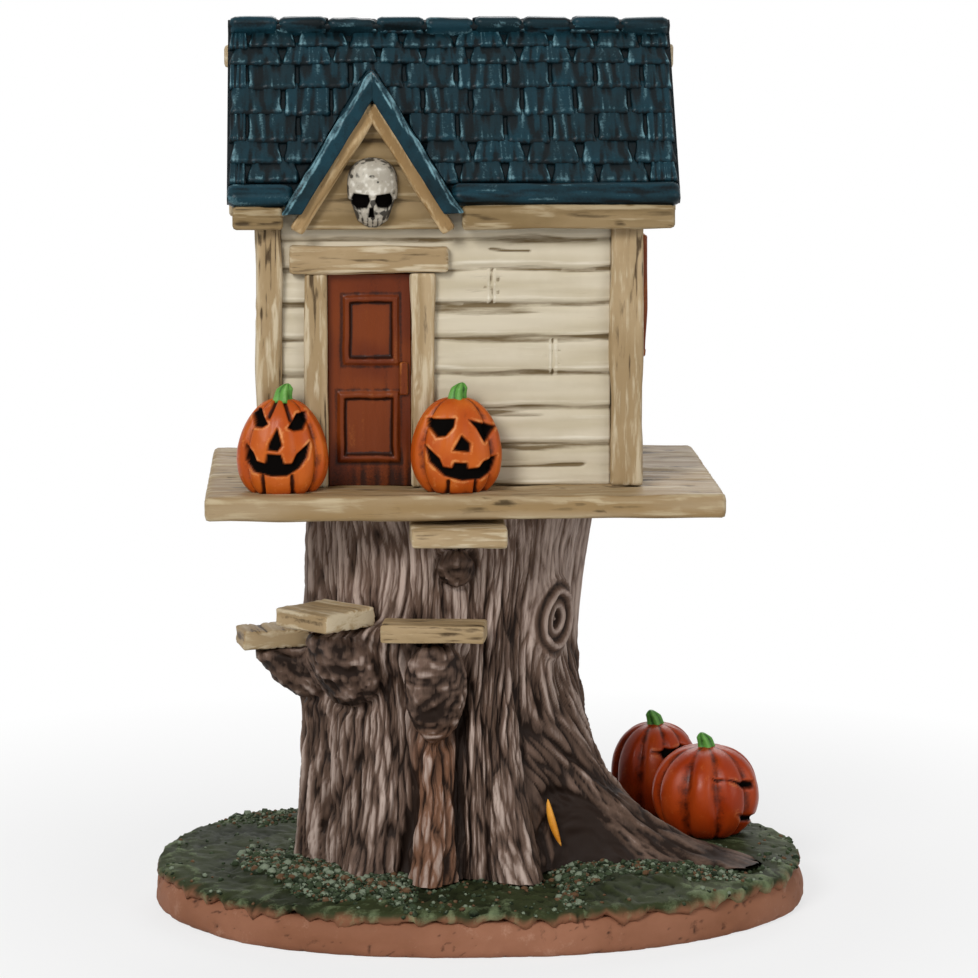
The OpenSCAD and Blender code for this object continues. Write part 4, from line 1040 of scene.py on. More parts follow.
# %% Window
PANE_WIDE, PANE_TALL = 14, 20.6
CROSS_BAR = (1.4, 1.2)
frame_low, frame_high = corners("window_frame")
pane_face = corners("window_pane")[1][0]
rail = (frame_high[1] - frame_low[1] - PANE_WIDE) / 2
deep = frame_high[0] - frame_low[0]
middle = (frame_low + frame_high) / 2
bars = [((frame_high[2] - frame_low[2], deep, rail), (middle[0], y, middle[2]), (0, 0, 1), (0, 1, 0))
        for y in (frame_low[1] + rail / 2, frame_high[1] - rail / 2)]
bars += [((frame_high[1] - frame_low[1], deep, rail), (middle[0], middle[1], z), (0, 1, 0), (0, 0, 1))
         for z in (frame_low[2] + rail / 2, frame_high[2] - rail / 2)]
bars += [((PANE_TALL, *CROSS_BAR), (pane_face + 0.5, 0, middle[2]), (0, 0, 1), (0, 1, 0)),
         ((PANE_WIDE, *CROSS_BAR), (pane_face + 0.5, 0, middle[2]), (0, 1, 0), (0, 0, 1))]
rails = [board(*bar, step=0.4, edge=0.4, seed=260 + 5 * i) for i, bar in enumerate(bars)]
piece("window_frame_moulded", rails, russet, "russet_resin", "window_frame")
pane = board_in("window_pane", "y", step=0.6, edge=0.2, wave=0.1, crack=0, seed=290)
piece("window_pane_cast", [pane], amber, "amber_resin", "window_pane")

# %% [markdown]
# ## The shingled roof
# A shingle is split from a short log, so it has grooves along the grain. It is thick near its worn,
# rounded foot and thin at the top. Roofers lay the courses upwards from the eave, each one covering the
# joints of the last. Ten shapes are made here, five with wide slots between them and five with narrow
# ones. A Geometry Nodes tree then lays them on points that mark the courses.

# %% Shingle shapes
def shingle(seed, short, across=25, upwards=12):
    """One shingle, 1 wide and 1 tall, up to 1.2 mm thick near its lower edge: its rings and relief."""
    u, v = np.meshgrid(np.linspace(-1, 1, across), np.linspace(0, 1, upwards) ** 1.3)
    slot = 0.075 * ramp(v, 0.1, 0.75) if short else 0.032 * ramp(v, 0.03, 0.3)
    half = 0.502 - slot - 0.012 * noise(np.stack([0 * v, 5 * v, 0 * v + seed], -1), 1, seed)
    x = u * half
    at = np.stack([9 * x + 17 * seed, v * 1.1, 0 * x], -1)
    groove = ramp(noise(at, 0.85, seed), 0.05, 0.6)
    side = ramp(np.abs(u), 1.0, 0.86)
    foot = np.sqrt(np.clip(v / 0.13, 0, 1))
    z = (1.2 - 0.85 * v) * (0.3 + 0.7 * np.sqrt(side)) * (0.25 + 0.75 * foot)
    z = np.maximum(z - 0.2 * groove * foot + 0.07 * noise(at, 0.6, seed + 9), 0.1)
    rim = ramp(np.abs(np.abs(u) - 0.9), 0.1, 0.02) * ramp(v, 0.02, 0.1) * ramp(v, 0.8, 0.5)
    rim = rim * (0.5 + 0.6 * noise(at * [0.3, 3, 1], 0.7, seed + 6))
    lines = noise(np.stack([26 * x + 17 * seed, v, 0 * x], -1), 1.0, seed + 5)
    # Darker at the sunk side edges, where the wash pools, and along the lower edge as a painted shadow line
    # under each course.
    sunk = np.maximum(1 - ramp(np.abs(u), 1.0, 0.94), 0.8 * ramp(v, 0.06, 0.0))
    relief = 0.5 - 0.35 * groove + 0.4 * rim - 0.5 * sunk + 0.14 * noise(at, 0.7, seed + 4) + 0.2 * lines
    relief = np.clip(relief + 0.1 * ramp(np.abs(v - 0.13), 0.08, 0.02), 0, 1)
    base = np.stack([np.stack([x[:, -1], v[:, 0], 0 * v[:, 0] - 0.2], -1),
                     np.stack([x[:, 0], v[:, 0], 0 * v[:, 0] - 0.2], -1)], 1)
    rings = np.concatenate([np.stack([x, v, z], -1), base], 1)[:, ::-1]
    return rings, np.concatenate([relief, np.full((upwards, 2), 0.1)], 1)[:, ::-1]


# The short kind, with wide slots, lies near the ridge and at the eave, and the tall kind between.
SHAPES_A_KIND = 5
shapes = bpy.data.collections.new("shingle_shapes")
scene.collection.children.link(shapes)
for k in range(2 * SHAPES_A_KIND):
    rings, relief = shingle(300 + k, k < SHAPES_A_KIND)
    points, faces, marks = loft(rings, relief=relief, streak=0.5 + 0.15 * math.sin(5.3 * k))
    mesh = bpy.data.meshes.new(f"shingle_{k}")
    mesh.from_pydata((points * [1, 1, MM]).tolist(), [], faces)
    for key, value in marks.items():
        mark_points(mesh, key, value)
    shapes.objects.link(bpy.data.objects.new(f"shingle_{k}", mesh))

# %% [markdown]
# ## Laying the shingles
# A roofer takes a shingle, trims it to its place and lays it a little askew. The tree does the same for
# each point: it picks the shape that the point asks for, stretches it to the point's size and twists it
# at random by up to 0.7 degrees.

# %% Laying tree
lay, given = new_tree("lay_shingles", ("Shapes", "NodeSocketCollection"),
                      ("Seed", "NodeSocketInt"), ("Paint", "NodeSocketMaterial"))
stock = add(lay, "GeometryNodeCollectionInfo", {"Collection": given.outputs["Shapes"],
                                                "Separate Children": True, "Reset Children": True})
twist = add(lay, "FunctionNodeRandomValue", {2: -0.012, 3: 0.012, "Seed": given.outputs["Seed"]},
            data_type="FLOAT")
turned = add(lay, "ShaderNodeCombineXYZ", {"Z": twist.outputs[1]})
sized = add(lay, "GeometryNodeInputNamedAttribute", {"Name": "size"}, data_type="FLOAT_VECTOR")
chosen = add(lay, "GeometryNodeInputNamedAttribute", {"Name": "shape"}, data_type="INT")
laid = add(lay, "GeometryNodeInstanceOnPoints", {
    "Points": given.outputs["Geometry"], "Instance": stock.outputs[0], "Pick Instance": True,
    "Instance Index": chosen.outputs[0], "Rotation": turned.outputs[0], "Scale": sized.outputs[0]})
solid = add(lay, "GeometryNodeRealizeInstances", {"Geometry": laid.outputs[0]})
painted = add(lay, "GeometryNodeSetMaterial", {"Geometry": solid.outputs[0],
                                               "Material": given.outputs["Paint"]})
add(lay, "NodeGroupOutput", {"Geometry": painted.outputs[0]})
print("laying tree of", len(lay.nodes), "nodes")

# %% [markdown]
# ## Courses
# Eight courses show: short shingles under the ridge, tall ones half-way down and short ones again above
# a plain rolled lip at the eave. Nine caps on each side close the ridge. On the front slope, the points
# that fall inside the small gable are left out, and the shingles beside it are cut along the valley.

# %% Roof slopes
# How much of each course shows, from the ridge down, and which courses use the short shingles.
EXPOSURES = [3.5, 3.7, 3.9, 5.8, 6.3, 6.5, 5.0, 4.5]
SHORT_ROWS = (0, 1, 2, 6, 7)
IN_A_ROW = 9
GABLE_X, GABLE_Z, GABLE_SLOPE, GABLE_HALF = -21.4, 168.4, 1.593, 17.0
# Length of a slope, place of its rolled lip, and depth of the bed under the shingles.
SLOPE_LENGTH, LIP_AT, SINK = 42.6, 41.3, 1.25
roof_low, roof_high = corners("roof_front")
pitch_angle = math.atan(ROOF_SLOPE)


def on_slope(x, t, lift, side):
    """World place of a point t mm down the slope from the ridge and lift mm above its plane."""
    y = t * math.cos(pitch_angle) + lift * math.sin(pitch_angle)
    z = RIDGE_Z - t * math.sin(pitch_angle) + lift * math.cos(pitch_angle)
    return np.stack([x + 0 * y, side * y, z + 0 * x], -1)


def valley(z):
    """Half the width of the gable's outline at a height."""
    return np.clip((GABLE_Z - z) / GABLE_SLOPE, 0, GABLE_HALF + 0.2)


print("the roof's pitch is", round(math.degrees(pitch_angle), 1), "degrees")


# %% [markdown]
# ## Bed and places
# Under real shingles lie battens and felt, and here a bed that shows through the slots, painted nearly black
# as dark wash and painted shade. Every second course starts half a shingle further out and each joint is
# shifted a little, so that the joints don't line up.

# %% Bed and places
def slope_shapes(side, spans):
    """The bed under the shingles, painted dark as wash and shade in the slots, one part for each span of the
    roof's width.
    """
    t = np.linspace(0, SLOPE_LENGTH, 36)
    shapes = []
    for first, last in spans:
        x0, x1 = first(t), last(t)
        x = x0[:, None] + (x1 - x0)[:, None] * np.linspace(0, 1, 14)[None]
        T = np.tile(t[:, None], (1, 14))
        top = on_slope(x, T, -SINK + 0.1 * noise(np.stack([x, T, 0 * x], -1), 1.5, 5), side)
        under = on_slope(x, T, np.full(x.shape, -3.0), side)[:, ::-1]
        rings = np.concatenate([top, under], 1)
        rings = rings[:, ::-1] if side < 0 else rings
        # Relief 0.22 paints the bed nearly black: dark wash and painted shade in the slots.
        shapes.append(loft(rings, relief=0.22, streak=0.3))
    return shapes


def courses(side):
    """Places for the shingles of one slope as (x, down the slope, course), and their sizes, in mm."""
    places, sizes, t = [], [], 0.1
    for row, shown in enumerate(EXPOSURES):
        t += shown
        count = IN_A_ROW + row % 2
        width = (roof_high[0] - roof_low[0]) / IN_A_ROW
        start = roof_low[0] - (0.5 * width if row % 2 else 0)
        for k in range(count):
            shift, next_shift = (1.1 * math.sin(7.1 * joint + 3.3 * row) for joint in (k, k + 1))
            left = max(roof_low[0] + 0.3, start + k * width + (shift if k else 0))
            right = min(roof_high[0] - 0.3, start + (k + 1) * width + next_shift)
            middle = (left + right) / 2
            z = RIDGE_Z - (t - shown / 2) * math.sin(pitch_angle)
            covered = side < 0 and abs(middle - GABLE_X) + (right - left) / 2 < valley(z - 3)
            if right - left > 1.5 and not covered:
                places.append((middle, t + 0.28 * math.sin(4.7 * k + row), row))
                sizes.append((right - left, min(shown + 1.6, t), 1.0))
    return places, sizes


# %% [markdown]
# ## A whole slope
# The tree lays the shingles on a flat table, which is then tilted onto the slope. Lip and caps are
# boards with soft edges and little grain. They are brushed less than the shingles.

# %% Slope maker
def sunk_tone(shape, share):
    """A shape whose paint stays nearer to the groove colour."""
    points, faces, marks = shape
    return points, faces, {**marks, "relief": share * marks["relief"]}


def roof_slope(name, side, spans, node):
    """One whole slope: bed, shingles, rolled lip and ridge caps, in place of a CAD slope."""
    places, sizes = courses(side)
    points = bpy.data.meshes.new("course_points")
    points.from_pydata([(x * MM, -t * MM, 0) for x, t, _ in places], [], [])
    points.attributes.new("size", "FLOAT_VECTOR", "POINT").data.foreach_set(
        "vector", (np.array(sizes) * [MM, MM, 1]).ravel().astype(np.float32))
    kinds = [(3 * k + 2 * row) % SHAPES_A_KIND + (0 if row in SHORT_ROWS else SHAPES_A_KIND)
             for k, (_, _, row) in enumerate(places)]
    points.attributes.new("shape", "INT", "POINT").data.foreach_set("value", kinds)
    source = bpy.data.objects.new("course_points", points)
    scene.collection.objects.link(source)
    mesh = grown(source, lay, {"Shapes": shapes, "Seed": 7, "Paint": teal}, name)
    bpy.data.objects.remove(source)
    local = np.empty(3 * len(mesh.vertices))
    mesh.vertices.foreach_get("co", local)
    local = local.reshape(-1, 3) / MM
    world = on_slope(local[:, 0], -local[:, 1], local[:, 2] - SINK, side)
    if side < 0:
        away = world[:, 0] - GABLE_X
        keep = valley(world[:, 2])
        world[:, 0] = GABLE_X + np.where(np.abs(away) < keep, np.sign(away) * keep, away)
    marks = {}
    for key in ("relief", "streak"):
        marks[key] = np.empty(len(local), np.float32)
        mesh.attributes[key].data.foreach_get("value", marks[key])
    faces = [list(p.vertices) if side < 0 else list(p.vertices)[::-1] for p in mesh.polygons]
    parts = [(world, faces, marks), *slope_shapes(side, spans)]
    down = np.array([0, side * math.cos(pitch_angle), -math.sin(pitch_angle)])
    out = np.array([0, side * math.sin(pitch_angle), math.cos(pitch_angle)])
    top = np.array([0, 0, RIDGE_Z])
    near_eave = np.array([42.0])
    for k, (first, last) in enumerate(spans):
        x0, x1 = first(near_eave)[0], last(near_eave)[0]
        lip = top + down * LIP_AT - out * 1.5 + [(x0 + x1) / 2, 0, 0]
        roll = board((x1 - x0, 4.3, 3.6), lip - 0.2 * out, (1, 0, 0), out, step=0.5, edge=1.3, wave=0.25,
                     grain=0.08, crack=0.12, seed=320 + 5 * k)
        parts.append(sunk_tone(roll, 0.75))
    wide = (roof_high[0] - roof_low[0] - 0.4) / IN_A_ROW
    for k in range(IN_A_ROW):
        middle = np.array([roof_low[0] + 0.2 + (k + 0.5) * wide, side * 1.05,
                           RIDGE_Z - 2.15 + 0.2 * math.sin(3 * k)])
        cap = board((wide - 0.1, 2.5, 4.0), middle, (1, 0, 0), (0, side * 0.45, 0.9), step=0.5, edge=1.2,
                    wave=0.3, grain=0.1, crack=0.15, seed=330 + 5 * k)
        parts.append(sunk_tone(cap, 0.72))
    return piece(name, parts, teal, "shingle_resin", node)


# %% [markdown]
# ## Front and back
# The gable parts the front slope into two spans, each with its own bed and lip. The back slope is one
# span from edge to edge.

# %% Two slopes
def left_edge(t):
    """The roof's left edge at each distance down the slope."""
    return np.full(t.shape, roof_low[0])


def right_edge(t):
    """The roof's right edge at each distance down the slope."""
    return np.full(t.shape, roof_high[0])


def beside(sign):
    """A function for the edge along the gable, on its left (-1) or its right (1)."""
    return lambda t: GABLE_X + sign * valley(RIDGE_Z - t * math.sin(pitch_angle))


roof_slope("roof_front_shingles", -1, [(left_edge, beside(-1)), (beside(1), right_edge)], "roof_front")
roof_slope("roof_back_shingles", 1, [(left_edge, right_edge)], "roof_back")
for shape in list(shapes.objects):
    bpy.data.objects.remove(shape)
bpy.data.collections.remove(shapes)

# %% [markdown]
# ## Eaves and rakes
# Tan boards close the roof from below. The front eave has two, one on each side of the gable, painted in the
# darker gable tan as painted shade under the roof, and each end of the house has a pair that follows the
# slopes.

# %% Eave and rake boards
low, high = corners("eave_boards_front")
deep, tall = high[1] - low[1], high[2] - low[2] + 1.0
runs = [(low[0], GABLE_X - GABLE_HALF), (GABLE_X + GABLE_HALF, high[0])]
trims = []
for k, (x0, x1) in enumerate(runs):
    middle = ((x0 + x1) / 2, low[1] + deep / 2, low[2] + tall / 2)
    trims.append(board((x1 - x0, deep, tall), middle, edge=0.7, wave=0.3, seed=340 + 5 * k))
# The darker gable paint on the front eave boards is painted shade from the roof above.
piece("eave_boards_front_carved", trims, gable_tan_and_eave_shade, "trim_resin", "eave_boards_front")
RAKE_REACH = 22.5
for node, seed in (("rake_boards_left", 350), ("rake_boards_right", 360)):
    low, high = corners(node)
    trims = []
    for side in (-1, 1):
        run = np.array([0, side * RAKE_REACH, -RAKE_REACH * ROOF_SLOPE])
        middle = np.array([(low[0] + high[0]) / 2, 0, high[2] - 2.2]) + run / 2
        size = (np.linalg.norm(run) - 1.5, high[0] - low[0], 2.6)
        trims.append(board(size, middle, run, (0, -run[2], run[1]), edge=0.5, seed=seed + side))
    piece(node + "_carved", trims, tan, "trim_resin", node)

# %% [markdown]
# ## The small gable
# The gable over the door has a smooth teal band with a wavy, dry-brushed rim, and ochre rakes below it.
# The band is sliced upright from the peak to its foot, and each slice runs back until it meets the main
# roof.

# %% Gable band
# The band's front face, its height over the rakes, and its lowest point.
GABLE_FRONT, GABLE_DROP, GABLE_FOOT = -27.5, 6.4, 140.5


def gable_band(sign, seed):
    """One half of the gable's roof, in upright slices from the peak (x = 0) out to its foot."""
    x = np.linspace(0, GABLE_HALF + 0.15, 90)
    outer = GABLE_Z - 0.3 - GABLE_SLOPE * np.sqrt(x ** 2 + 0.5)
    inner = np.maximum(GABLE_Z - GABLE_DROP - GABLE_SLOPE * x, GABLE_FOOT)
    outer = np.maximum(outer, inner + 0.4)
    share = np.concatenate([np.linspace(0, 1, 5)[:-1], np.ones(4), np.linspace(1, 0, 12), np.zeros(9)])
    level = np.concatenate([np.zeros(4), np.linspace(0, 1, 5)[:-1], np.ones(12), np.linspace(1, 0, 11)[1:-1]])
    z = inner[:, None] + (outer - inner)[:, None] * level[None]
    rear = np.maximum(-(RIDGE_Z - z) / ROOF_SLOPE + 1.2, GABLE_FRONT + 1.6)
    y = GABLE_FRONT + (rear - GABLE_FRONT) * share[None]
    X = np.tile(x[:, None], (1, len(share)))
    at = np.stack([X, y, z], -1) + seed
    rim = np.exp(-np.hypot(y - GABLE_FRONT, (outer[:, None] - z) * 0.8) / 0.9)
    z = z + rim * 0.8 * noise(at, 2.6, seed) + 0.15 * noise(at, 3, seed + 1)
    y = y + 0.5 * ramp(level, 0.75, 1.0)[None] * (share[None] < 0.05) + 0.12 * noise(at, 1.6, seed + 2)
    under_rim = outer[:, None] - z - 1.3 - 0.7 * noise(at, 2.4, seed + 5)
    brushed = ramp(np.abs(under_rim), 0.7, 0.15) * (y < GABLE_FRONT + 1)
    relief = 0.45 + 0.5 * np.maximum(rim, brushed) * (0.8 + 0.6 * noise(at, 1.3, seed + 3))
    relief = np.clip(relief + 0.12 * noise(at, 1.1, seed + 4), 0, 1)
    rings = np.stack([GABLE_X + sign * X, y, z], -1)
    rings, relief = (rings, relief) if sign > 0 else (rings[:, ::-1], relief[:, ::-1])
    return loft(rings, relief=relief, streak=0.5 + 0.4 * noise(rings, 5, seed))


def gable_rake(sign, seed):
    """The board under one half of the gable's roof."""
    reach = 14.2
    run = np.array([sign * reach, 0, -reach * GABLE_SLOPE])
    peak = np.array([GABLE_X, -25.2, GABLE_Z - GABLE_DROP - 1.7])
    return board((np.linalg.norm(run) + 1.4, 2.3, 2.9), peak + run / 2, run, (-run[2], 0, run[0]), step=0.4,
                 edge=0.6, wave=0.25, crack=0.5, seed=seed)


piece("gable_roof_left_band", [gable_band(-1, 370)], teal, "shingle_resin", "gable_roof_left")
piece("gable_roof_right_band", [gable_band(1, 380)], teal, "shingle_resin", "gable_roof_right")
piece("gable_rake_left_carved", [gable_rake(-1, 390)], ochre, "trim_resin", "gable_rake_left")
piece("gable_rake_right_carved", [gable_rake(1, 395)], ochre, "trim_resin", "gable_rake_right")

# %% [markdown]
# ## Boards in the gable
# The little wall behind the rakes has five boards of its own. They are lapped like the siding, but
# thinner and one tone darker.

# %% Gable wall
GABLE_LAPS = [136.5, 142.7, 149.0, 154.0, 159.2, 164]
low, high = corners("gable_wall")
levels = np.linspace(low[2], high[2] - 0.3, 80)
reach = (high[2] - levels) / GABLE_SLOPE
X, Z = np.linspace(-1, 1, 70)[None] * reach[:, None], np.tile(levels[:, None], (1, 70))
depth, relief, streak = clapboards(X, Z, GABLE_LAPS, 400, proud=0.6)
wall = sheet_of(X + GABLE_X, Z, low[1] + 0.5 - depth, high[1], relief, streak)
piece("gable_wall_boards", [wall], gable_tan_and_eave_shade, "gable_resin", "gable_wall")

# %% [markdown]
# ## Cut-out shapes
# The skull and the pumpkins have faces. A face is drawn as flat polygons in millimetres, seen from the
# front, and each point of the mesh asks how deep inside a polygon it lies. Points inside are pushed in
# and painted black. On the pumpkins the points just outside take a pale brush line.

# %% Distance to polygons
def depth_inside(x, z, polygon):
    """Signed distance to a polygon's edge: positive inside."""
    corner = np.array(polygon, float)
    near, odd = np.full(x.shape, 1e9), np.zeros(x.shape, bool)
    for (x0, z0), (x1, z1) in zip(corner, np.roll(corner, -1, 0)):
        ex, ez = x1 - x0, z1 - z0
        t = np.clip(((x - x0) * ex + (z - z0) * ez) / (ex * ex + ez * ez), 0, 1)
        near = np.minimum(near, np.hypot(x - x0 - t * ex, z - z0 - t * ez))
        crosses = (z0 > z) != (z1 > z)
        odd ^= crosses & (x < x0 + (z - z0) * ex / (ez if ez else 1e-9))
    return np.where(odd, near, -near)


def deepest(x, z, polygons):
    """How deep a point lies in the deepest of several polygons: negative outside them all."""
    return np.max([depth_inside(x, z, polygon) for polygon in polygons], 0)


# %% [markdown]
# ## The skull
# The skull hangs on the gable's boards, so it is only half round. Its rings shrink from the outline to the
# middle while the bulk rises between them. The brow and the cheekbones stand out, the eyes and the nose are
# pushed in, and slots part the teeth. The cheek hollows are not carved: black wash and painted shade darken
# them.

# %% Skull
skull_low, skull_high = corners("skull")
half, tall = (skull_high[0] - skull_low[0]) / 2, skull_high[2] - skull_low[2]
phi, r = np.meshgrid(np.linspace(0, 2 * np.pi, 120, endpoint=False), np.linspace(1, 0.01, 56))
v = 0.5 + 0.5 * r * np.sin(phi)
across = np.clip(r * np.cos(phi) / np.sqrt(np.maximum(1 - (2 * v - 1) ** 2, 1e-4)), -1, 1)
breadth = np.where(v < 0.42, 0.5 + 0.95 * v, np.sqrt(np.maximum(0.02, 1 - np.abs((v - 0.58) / 0.42) ** 3)))
breadth = np.minimum(breadth, 1) * np.minimum(1, 6 * v + 0.35)
x, z = half * breadth * across, tall * v
SKULL_DEPTH = 4.0
bulk = SKULL_DEPTH * np.minimum(1, breadth + 0.15) * np.sqrt(np.maximum(1 - across ** 2, 0))
bulk = bulk * (1 - np.abs(2 * v - 1) ** 8)
EYES = [[(-3.9, 4.6), (-3.0, 3.9), (-1.1, 4.1), (-0.5, 5.4), (-0.8, 6.6), (-3.6, 6.9), (-4.1, 5.8)],
        [(0.4, 5.4), (0.9, 4.2), (2.8, 3.9), (3.7, 4.6), (3.8, 5.8), (3.3, 6.9), (0.7, 6.5)]]
NOSE = [(-0.9, 2.2), (0.4, 2.2), (0.1, 4.1), (-0.6, 4.1)]
hole = deepest(x, z, [*EYES, NOSE])
brow = ramp(np.abs(z - 7.0), 1.2, 0.2) * ramp(np.abs(x), 4.5, 3.2)
teeth = ramp(z, 2.3, 1.8) * ramp(z, 0.1, 0.4) * ramp(np.abs(x), 3.0, 2.4)
slots = teeth * ramp(np.abs(np.sin(x * np.pi / 0.95)), 0.5, 0.15)
cheekbone = ramp(np.abs(np.abs(x) - 3.4), 1.1, 0.3) * ramp(np.abs(z - 3.2), 1.3, 0.4)
spot = np.stack([x, bulk, z], -1)
bulk = bulk + 0.5 * brow + 0.35 * cheekbone - 0.4 * slots
bulk = bulk - 1.3 * ramp(hole, -0.15, 0.5) + 0.08 * noise(spot, 0.8, 411)
relief = 0.66 + 0.4 * noise(spot, 0.6, 412) + 0.2 * brow - 0.6 * slots
relief = relief - 0.4 * cheekbone * (noise(spot, 1.0, 413) > -0.1)
# Cheek hollows, not carved: black wash and painted shade.
cheek_wash_and_shade = ramp(np.hypot(np.abs(x + 0.2) - 2.6, (z - 2.7) / 1.2), 1.1, 0.5)
relief = relief - 0.45 * ramp(noise(spot, 1.0, 414), 0.25, 0.55) - 0.2 * ramp(hole, -0.5, -0.1)
relief = relief - 0.45 * ramp(r, 0.85, 1.0) - 0.5 * cheek_wash_and_shade
middle_x = (skull_low[0] + skull_high[0]) / 2
rings = np.stack([middle_x + x, skull_high[1] - np.maximum(bulk, 0), skull_low[2] + z], -1)
skull = loft(rings, relief=np.clip(relief, 0, 1), streak=0.5 + 0.4 * noise(spot, 2, 415),
             cut=ramp(hole, -0.12, 0.1))
piece("skull_moulded", [skull], bone, "bone_resin", "skull")

# %% [markdown]
# ## Pumpkins
# Each pumpkin is a turned shape with ribs, ten on the porch and nine on the ground. The two on the porch
# are bell-shaped and flat at the back, because they lean on the house; their faces look at the visitor.
# The two on the ground look off to the right, so only the corners of their faces show from the front.

# %% Pumpkin maker
# Where the turned shape begins and ends, in degrees of latitude, and a back limit that none reaches.
FOOT, CROWN, FREE = -58, 84, 99.0


def pumpkin(size, bell, centre, look, face, creases, seed, ribs=10, back=FREE):
    """A ribbed, carved pumpkin as a shape. `look` is the angle its face turns to, in degrees."""
    width, deep, tall = size
    leans = back < FREE
    sides, levels = (184, 96) if leans else (128, 64)
    a, p = np.meshgrid(np.linspace(0, 2 * np.pi, sides, endpoint=False),
                       np.radians(np.linspace(FOOT, CROWN, levels)))
    lowest, highest = math.sin(math.radians(FOOT)), math.sin(math.radians(CROWN))
    v = (np.sin(p) - lowest) / (highest - lowest)
    r = np.cos(p) ** 0.8 * (1 + bell * (0.5 - v))
    sway = a + 0.1 * noise(np.stack([6 * np.cos(a), 6 * np.sin(a), 3 * v], -1), 2.0, seed)
    dip = np.abs(np.cos(ribs / 2 * sway))
    facing = math.radians(look)
    front = ramp(np.cos(a - facing), 0.55, 0.9) * leans
    groove = dip ** 8 * (1 - 0.8 * front)
    rib = 1.012 - 0.11 * groove - 0.02 * dip ** 2
    x, y, z = width / 2 * r * rib * np.cos(a), deep / 2 * r * rib * np.sin(a), tall * v
    toward = x * math.cos(facing) + y * math.sin(facing)
    sideways = -x * math.sin(facing) + y * math.cos(facing)
    hole = np.where(toward > 0, deepest(sideways, z, face), -9)
    line = np.zeros(x.shape)
    for x0, z0, x1, z1 in creases:
        away = -depth_inside(sideways, z, [(x0, z0), (x1, z1), (x1 + 0.02, z1), (x0 + 0.02, z0)])
        line = np.maximum(line, ramp(away, 0.55, 0.1) * (toward > 0))
    spot = np.stack([x, y, z], -1) + 11 * seed
    sunk = 0.75 * ramp(hole, -0.2, 0.5) + 0.6 * line - 0.1 * layered(spot, 3.5, seed + 1)
    x, y = x - sunk * np.cos(a), y - sunk * np.sin(a)
    edge = ramp(np.abs(hole + 0.35), 0.4, 0.1)
    relief = 0.55 - 0.34 * groove - 0.6 * line + 0.2 * edge
    relief = relief + 0.14 * noise(spot, 1.2, seed + 2) + 0.08 * (1 - dip) - 0.25 * ramp(v, 0.06, 0.0)
    rings = np.stack([centre[0] + x, np.minimum(centre[1] + y, back), centre[2] + z], -1)
    return loft(rings, relief=np.clip(relief, 0, 1), streak=0.5 + 0.5 * noise(spot, 4, seed + 3),
                cut=np.maximum(ramp(hole, -0.2, 0.15), 0.75 * line))


# %% [markdown]
# ## Four faces
# Each face lists its holes as corners in millimetres: how far to the side of the middle, and how high
# above the foot. A crease is a straight cut from one point to another. One pumpkin is angry and one is
# merry; the faces of the two on the ground hardly show.

# %% Faces and pumpkins
ANGRY = [[(-5.8, 16.2), (-4.0, 16.4), (-3.5, 15.1), (-2.7, 13.6), (-3.9, 12.9), (-5.1, 13.0)],
         [(4.6, 15.7), (2.8, 15.5), (2.1, 14.3), (1.1, 12.9), (2.3, 12.3), (4.0, 12.5), (4.8, 14.1)],
         [(-0.9, 13.0), (0, 9.7), (-0.9, 8.6), (-2.8, 8.8), (-2.5, 10.0)],
         [(-7.0, 10.0), (-5.5, 8.3), (-4.9, 6.7), (-3.3, 6.3), (-3.0, 8.1), (-0.2, 8.0), (0.4, 6.3),
          (1.9, 6.3), (2.8, 8.1), (5.3, 10.2), (4.8, 7.4), (3.3, 5.3), (0.9, 3.9), (-2.3, 3.8),
          (-5.5, 4.6), (-6.9, 6.7)]]
ANGRY_CREASES = [(-1.2, 17.6, -2.6, 14.8), (0.5, 17.6, 1.7, 14.2), (-3.9, 3.9, -3.6, 0.2),
                 (1.9, 3.9, 2.0, 0.2)]
MERRY = [[(-5.6, 14.3), (-0.4, 14.5), (-0.7, 13.0), (-2.3, 11.2), (-4.0, 11.0), (-5.5, 12.8)],
         [(2.1, 14.3), (7.5, 12.6), (5.3, 9.9), (3.7, 12.6)],
         [(0.8, 11.4), (2.5, 9.8), (2.3, 8.2), (-0.9, 8.6)],
         [(-6.2, 9.4), (-3.5, 7.0), (-2.8, 5.4), (-1.1, 5.2), (-0.7, 6.3), (1.9, 6.1), (2.1, 5.0), (4.2, 5.2),
          (5.1, 6.4), (7.6, 7.1), (6.5, 4.2), (4.4, 2.9), (0.9, 2.7), (-2.6, 3.6), (-5.5, 6.3)]]
MERRY_CREASES = [(-1.8, 2.6, -1.9, 0.2), (3.6, 2.6, 3.4, 0.2)]
SLY = [[(-9.3, 13.4), (-7.6, 12.2), (-4.0, 11.7), (-4.6, 10.2), (-7.6, 10.9)],
       [(9.3, 13.4), (7.6, 12.2), (4.0, 11.7), (4.6, 10.2), (7.6, 10.9)],
       [(-8.6, 5.8), (-6.4, 3.6), (0, 2.6), (6.4, 3.6), (8.6, 5.8), (6.0, 4.8), (0, 4.0), (-6.0, 4.8)]]
SLOT = [[(-8.0, 14.6), (-3.4, 15.6), (-1.8, 14.4), (-4.6, 12.6), (-7.8, 13.0)],
        [(8.0, 14.6), (3.4, 15.6), (1.8, 14.4), (4.6, 12.6), (7.8, 13.0)],
        [(-6.4, 6.6), (0, 4.4), (6.4, 6.6), (0, 6.0)]]
PORCH_SIZE, PORCH_Y, DECK_Z, TURF_Z = (17.2, 13.0, 18.0), -26.6, 87.4, 10.0
PORCH_BACK = PORCH_Y + 3.0
AT_VISITOR = -90
angry = pumpkin(PORCH_SIZE, 0.34, (-38.9, PORCH_Y, DECK_Z), AT_VISITOR, ANGRY, ANGRY_CREASES, 420,
                back=PORCH_BACK)
piece("porch_pumpkin_left_carved", [angry], orange, "pumpkin_resin", "porch_pumpkin_left")
